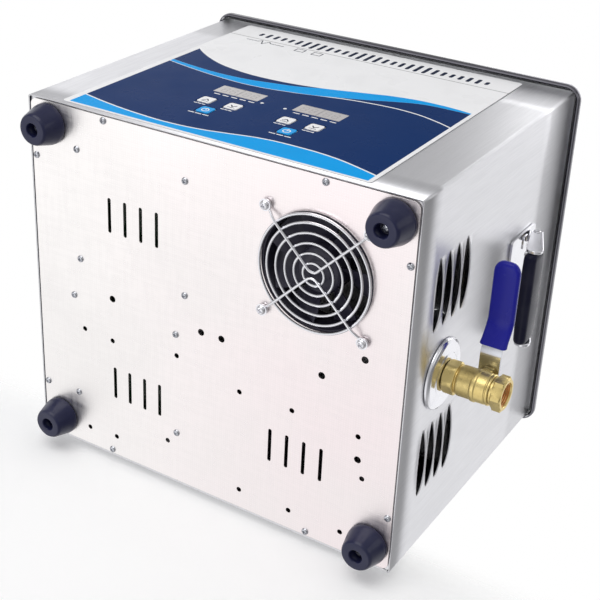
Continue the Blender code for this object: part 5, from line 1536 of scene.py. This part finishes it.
class CLEANER_OT_back(bpy.types.Operator):
    """Back sheet with its screws, the mains inlet and the rocker switch"""

    bl_idname = "cleaner.back"
    bl_label = "Back and mains"
    bl_options = {"REGISTER", "UNDO"}

    def execute(self, context):
        steel = brushed_steel("brushed back steel")
        black = moulded("mains plastic", tint(30, 30, 33), 0.45, 0.14, 900, 0.05, 0.06)
        zinc = polished("back screws", colours().zinc, 0.2, 0.3)
        inlet, switch = middle("power_inlet"), middle("power_switch_body")
        size = size_of("back_panel")
        panel_low, panel_high = low("back_panel").z, high("back_panel").z
        centre_z = (panel_low + panel_high) / 2
        bm = bmesh.new()
        cutouts = [
            (28.6, 22.6, 1.0, -inlet.x, inlet.z - centre_z),
            (14.1, 22.6, 1.0, -switch.x, switch.z - centre_z),
        ]
        outline = (size.x, panel_high - panel_low, 3.0, 0, 0)
        turned = Matrix.Rotation(math.pi, 4, "Z")
        place = at((0, BACK - SHEET, centre_z)) @ turned @ TOWARDS["-Y"]
        add_plate(bm, outline, cutouts, SHEET, place)
        place_piece("back_sheet", bm, steel, "machine", "back_panel", edge=0.3)
        bm = bmesh.new()
        half = size.x / 2 - 8
        spots = [(x, z) for x in (-half, half) for z in (22, 104, 186, 262)]
        spots += [(x, z) for x in (-half / 2.2, half / 2.2) for z in (10, 270)]
        radius = sizes().screw_radius / MM
        for number, (x, z) in enumerate(spots):
            add_screw_head(bm, radius, SCREW_HEIGHT, at((x, BACK, z), "Y", 31 * number))
        place_piece("back_screws", bm, zinc, "machine")
        self.make_inlet(inlet, black, zinc)
        self.make_switch(switch, black)
        return {"FINISHED"}

    def make_inlet(self, centre, black, metal):
        """The mains inlet: its flange and screws, its open socket and three pins."""
        outside = BACK + GAP
        bm = bmesh.new()
        add_plate(
            bm, (*INLET_OUTSIDE, 0, 0),
            [(*INLET_SOCKET, 0, 0), *[(3.4, 3.4, 1.7, x, 0) for x in (INLET_SCREW, -INLET_SCREW)]],
            BEZEL, at((centre.x, outside + BEZEL, centre.z), "-Y"),
        )
        shell = bmesh.new()
        add_box_walls(shell, (27, 21, 3.4), centre, outside + 0.4, outside - 20)
        loops = add_box_walls(shell, INLET_SOCKET, centre, outside - 18, outside + BEZEL - 0.1)
        bmesh.ops.triangle_fill(shell, edges=loops[0], use_beauty=True)
        bmesh.ops.recalc_face_normals(shell, faces=shell.faces)
        absorb(bm, shell)
        dome = [(0, 1.2), (2.0, 0.9), (2.9, 0.1), (2.9, 0), (0, 0)]
        for x in (-INLET_SCREW, INLET_SCREW):
            add_turned(bm, dome, at((centre.x + x, outside + BEZEL - 0.1, centre.z), "Y"), 24)
        start = len(bm.faces)
        for x, z in ((-7, -2), (7, -2), (0, 2)):
            add_block(bm, (2, 12, 4), (centre.x + x, outside - 11, centre.z + z), 0.4)
        paint_from(bm, start, 1)
        place_piece(
            "moulded_inlet", bm, [black, metal], "machine", "power_inlet",
            edge=0.3,
        )

    def make_switch(self, centre, black):
        """The switch's bezel and body, and the rocker with its two marks."""
        outside = BACK + GAP
        bm = bmesh.new()
        add_plate(
            bm, (*SWITCH_OUTSIDE, 0, 0), [(*SWITCH_WINDOW, 0, 0)], BEZEL,
            at((centre.x, outside + BEZEL, centre.z), "-Y"),
        )
        shell = bmesh.new()
        add_box_walls(shell, (13, 21.4, 1), centre, outside + 0.4, outside - 14, True)
        bmesh.ops.recalc_face_normals(shell, faces=shell.faces)
        absorb(bm, shell)
        place_piece(
            "moulded_switch_bezel", bm, black, "machine", "power_switch_body",
            edge=0.4,
        )
        hinge = pivot("power_rocker_tilt")
        white = moulded("rocker marks", tint(235, 235, 235), 0.4, 0.02, 700, 0.1, 0.02)
        bm = bmesh.new()
        tilt = Matrix.Translation(hinge) @ Matrix.Rotation(ROCKER_TILT, 4, "X")
        sections = []
        for step in range(13):
            share = step / 6 - 1
            deep = 5.6 + 1.4 * share * share
            sections.append((10.0, deep, 0.8, at((0, deep / 2 - 3.2, 8.1 * share))))
        add_solid_loft(bm, sections, tilt, 3)
        start = len(bm.faces)
        add_block(bm, (0.9, 0.3, 3.4), (0, ROCKER_FACE - 0.05, 5.0), 0.1, 1, tilt)
        ring = [(1.3, 0), (2.0, 0), (2.0, 0.3), (1.3, 0.3), (1.3, 0)]
        add_turned(bm, ring, tilt @ at((0, ROCKER_FACE - 0.2, -5.0), "Y"), 32)
        paint_from(bm, start, 1)
        place_piece("rocker", bm, [black, white], "power_rocker", "power_rocker")


class CLEANER_OT_inside(bpy.types.Operator):
    """Transducers, heaters, boards and sensor inside the housing"""

    bl_idname = "cleaner.inside"
    bl_label = "Inside pieces"
    bl_options = {"REGISTER", "UNDO"}

    def execute(self, context):
        stack = transducer_finish()
        for number in range(1, 7):
            coat(f"transducer_{number}", stack)
        board = board_finish()
        for node in ("control_board", "generator_board_front", "generator_board_rear"):
            coat(node, board)
        silicone = moulded("heater silicone", tint(196, 92, 40), 0.7, 0.4, 500, 0.0, 0.08)
        coat("heater_pad_front", silicone)
        coat("heater_pad_rear", silicone)
        coat("temperature_sensor", polished("sensor zinc", colours().zinc, 0.25, 0.2))
        return {"FINISHED"}


# ------------------------------------------------------------------ studio

CAMERA_PLACE = Vector((0.5124, -0.5095, -0.7339))
CAMERA_FORWARD = Vector((-0.47372, 0.44975, 0.75717))
CAMERA_UP = Vector((-0.26795, -0.89261, 0.36256))
CAMERA_LENS = 76.525
CAMERA_SHIFT = (0.0585, -0.0553)


def add_camera():
    """A long lens that looks up at the bottom plate, the panel and the side with the drain."""
    data = bpy.data.cameras.new("camera")
    data.lens = CAMERA_LENS
    data.sensor_width = 36
    data.shift_x, data.shift_y = CAMERA_SHIFT
    camera = bpy.data.objects.new("camera", data)
    bpy.context.scene.collection.objects.link(camera)
    right = CAMERA_FORWARD.cross(CAMERA_UP).normalized()
    up = right.cross(CAMERA_FORWARD).normalized()
    turn = Matrix((right, up, -CAMERA_FORWARD)).transposed().to_4x4()
    camera.matrix_world = Matrix.Translation(CAMERA_PLACE) @ turn
    bpy.context.scene.camera = camera


LIT_POINT = Vector((0, 0, 0.14))
LIGHTS = (
    ("key", (-0.15, -1.0, -0.45), 1.6, (1.3, 1.0), 8.5),
    ("low fill", (-0.35, -0.1, -1.0), 1.7, (1.4, 1.4), 2.5),
    ("top", (0.1, -0.2, 1.0), 1.7, (1.3, 1.3), 9),
    ("side", (1.0, -0.4, 0.1), 1.8, (0.8, 1.2), 2.5),
)


def add_softbox(name, toward, distance, size, power):
    """An area light that looks at the machine's middle from a direction."""
    data = bpy.data.lights.new(name, "AREA")
    data.shape = "RECTANGLE"
    data.size, data.size_y = size
    data.energy = power
    light = bpy.data.objects.new(name, data)
    bpy.context.scene.collection.objects.link(light)
    toward = Vector(toward).normalized()
    place = Matrix.Translation(LIT_POINT + toward * distance)
    light.matrix_world = place @ toward.to_track_quat("Z", "Y").to_matrix().to_4x4()


# Each glow: its direction, where it starts and is full (as cosines), and its strength.
GLOWS = (
    ((-0.42, 0.42, -0.80), 0.45, 0.92, 0.60),
    ((-0.80, -0.22, 0.55), 0.83, 0.98, 0.78),
    ((0.30, 0.50, 0.81), 0.60, 0.95, 0.60),
    ((0.1, -0.95, -0.3), 0.5, 0.98, 0.25),
    ((1.0, -0.1, 0.1), 0.6, 0.98, -0.2),
)
AMBIENT = 0.42


def add_world():
    """White behind everything, and a room of soft glows for the metal to mirror."""
    world = bpy.data.worlds.new("studio")
    bpy.context.scene.world = world
    world.use_nodes = True
    tree = world.node_tree
    tree.nodes.clear()

    def node(kind, **settings):
        made = tree.nodes.new("ShaderNode" + kind)
        for setting, value in settings.items():
            setattr(made, setting, value)
        return made

    where = node("TexCoord").outputs["Generated"]
    level = None
    for toward, start, end, strength in GLOWS:
        dot = node("VectorMath", operation="DOT_PRODUCT")
        tree.links.new(where, dot.inputs[0])
        dot.inputs[1].default_value = Vector(toward).normalized()
        ramp = node("MapRange", interpolation_type="SMOOTHERSTEP")
        tree.links.new(dot.outputs["Value"], ramp.inputs["Value"])
        for socket, value in (("From Min", start), ("From Max", end), ("To Max", strength)):
            ramp.inputs[socket].default_value = value
        add = node("Math", operation="ADD")
        tree.links.new(ramp.outputs[0], add.inputs[0])
        if level is None:
            add.inputs[1].default_value = AMBIENT
        else:
            tree.links.new(level, add.inputs[1])
        level = add.outputs[0]
    room, backdrop = node("Background"), node("Background")
    tree.links.new(level, room.inputs["Strength"])
    room.inputs["Color"].default_value = (1.0, 1.0, 1.01, 1)
    backdrop.inputs["Color"].default_value = (1, 1, 1, 1)
    mix, path, output = node("MixShader"), node("LightPath"), node("OutputWorld")
    tree.links.new(path.outputs["Is Camera Ray"], mix.inputs[0])
    tree.links.new(room.outputs[0], mix.inputs[1])
    tree.links.new(backdrop.outputs[0], mix.inputs[2])
    tree.links.new(mix.outputs[0], output.inputs[0])


GROUND_WHITE = 0.93
GROUND_GLOW = 0.14
FADE_START, FADE_END = 0.45, 0.98
TOP_FADE = 60.0


def add_ground(name, centre, towards, reach, top=None):
    """A pale plane, seen only from its front, that fades into the white round it.

    If a top is given, in millimetres, the plane also fades out towards that height.
    """
    bm = bmesh.new()
    bmesh.ops.create_circle(bm, cap_ends=True, segments=64, radius=reach)
    bmesh.ops.transform(bm, matrix=at(centre, towards), verts=bm.verts)
    mesh = bpy.data.meshes.new(name)
    bm.to_mesh(mesh)
    bm.free()
    ground = bpy.data.objects.new(name, mesh)
    bpy.context.scene.collection.objects.link(ground)
    for ray in ("diffuse", "glossy", "transmission", "volume_scatter", "shadow"):
        setattr(ground, f"visible_{ray}", False)
    finish = Finish(name, (GROUND_WHITE,) * 3, 0.9, specular_ior_level=0.0)
    finish.set("Emission Color", (1, 1, 1, 1))
    finish.set("Emission Strength", GROUND_GLOW)
    offset = finish.stretch((1, 1, 1), tuple(-Vector(centre)))
    distance = finish.node("VectorMath", {0: offset}, 1, operation="LENGTH")
    tree = finish.tree
    fade = finish.span(distance, reach * FADE_START, reach * FADE_END)
    backfacing = finish.node("NewGeometry", output=6)
    hidden = finish.sum("MAXIMUM", fade, backfacing)
    if top is not None:
        faded = finish.span(finish.axes()[2], top - TOP_FADE, top)
        hidden = finish.sum("MAXIMUM", hidden, faded)
    clear, mix = tree.nodes.new("ShaderNodeBsdfTransparent"), tree.nodes.new("ShaderNodeMixShader")
    tree.links.new(hidden, mix.inputs[0])
    tree.links.new(finish.shader.outputs[0], mix.inputs[1])
    tree.links.new(clear.outputs[0], mix.inputs[2])
    tree.links.new(mix.outputs[0], tree.nodes["Material Output"].inputs[0])
    mesh.materials.append(finish.material)


class CLEANER_OT_stage(bpy.types.Operator):
    """Camera, lights, pale grounds and the room that the metal mirrors"""

    bl_idname = "cleaner.stage"
    bl_label = "Studio"
    bl_options = {"REGISTER", "UNDO"}

    def execute(self, context):
        bpy.context.scene.view_settings.view_transform = "Standard"
        add_camera()
        add_world()
        for light in LIGHTS:
            add_softbox(*light)
        add_ground("back ground", (0, 0.1695, 0.05), "-Y", 0.9, TOP_FADE)
        add_ground("floor", (0, 0, -0.0212), "Z", 1.3)
        return {"FINISHED"}


# ------------------------------------------------------------------ panel, registration and run

MAKERS = (
    CLEANER_OT_stage, CLEANER_OT_housing, CLEANER_OT_bottom, CLEANER_OT_feet, CLEANER_OT_tank,
    CLEANER_OT_fan, CLEANER_OT_drain, CLEANER_OT_lever, CLEANER_OT_handles, CLEANER_OT_panel,
    CLEANER_OT_back, CLEANER_OT_inside,
)


class CLEANER_PT_sidebar(bpy.types.Panel):
    """Settings and makers of the cleaner"""

    bl_label = "Ultrasonic Cleaner"
    bl_idname = "CLEANER_PT_sidebar"
    bl_space_type = "VIEW_3D"
    bl_region_type = "UI"
    bl_category = "Cleaner"

    def draw(self, context):
        layout = self.layout
        for settings in (context.scene.cleaner_sizes, context.scene.cleaner_colours):
            box = layout.box()
            for name in settings.__annotations__:
                box.prop(settings, name)
        for maker in MAKERS:
            layout.operator(maker.bl_idname)


CLASSES = (CleanerSizes, CleanerColours, *MAKERS, CLEANER_PT_sidebar)


def register():
    """Registers the classes and hangs the settings on the scene."""
    for each in CLASSES:
        bpy.utils.register_class(each)
    bpy.types.Scene.cleaner_sizes = PointerProperty(type=CleanerSizes)
    bpy.types.Scene.cleaner_colours = PointerProperty(type=CleanerColours)


def unregister():
    """Takes back what register did."""
    del bpy.types.Scene.cleaner_colours
    del bpy.types.Scene.cleaner_sizes
    for each in reversed(CLASSES):
        bpy.utils.unregister_class(each)


def main():
    """Makes every piece and the studio."""
    register()
    for maker in MAKERS:
        group, name = maker.bl_idname.split(".")
        getattr(getattr(bpy.ops, group), name)()


if __name__ == "__main__":
    main()
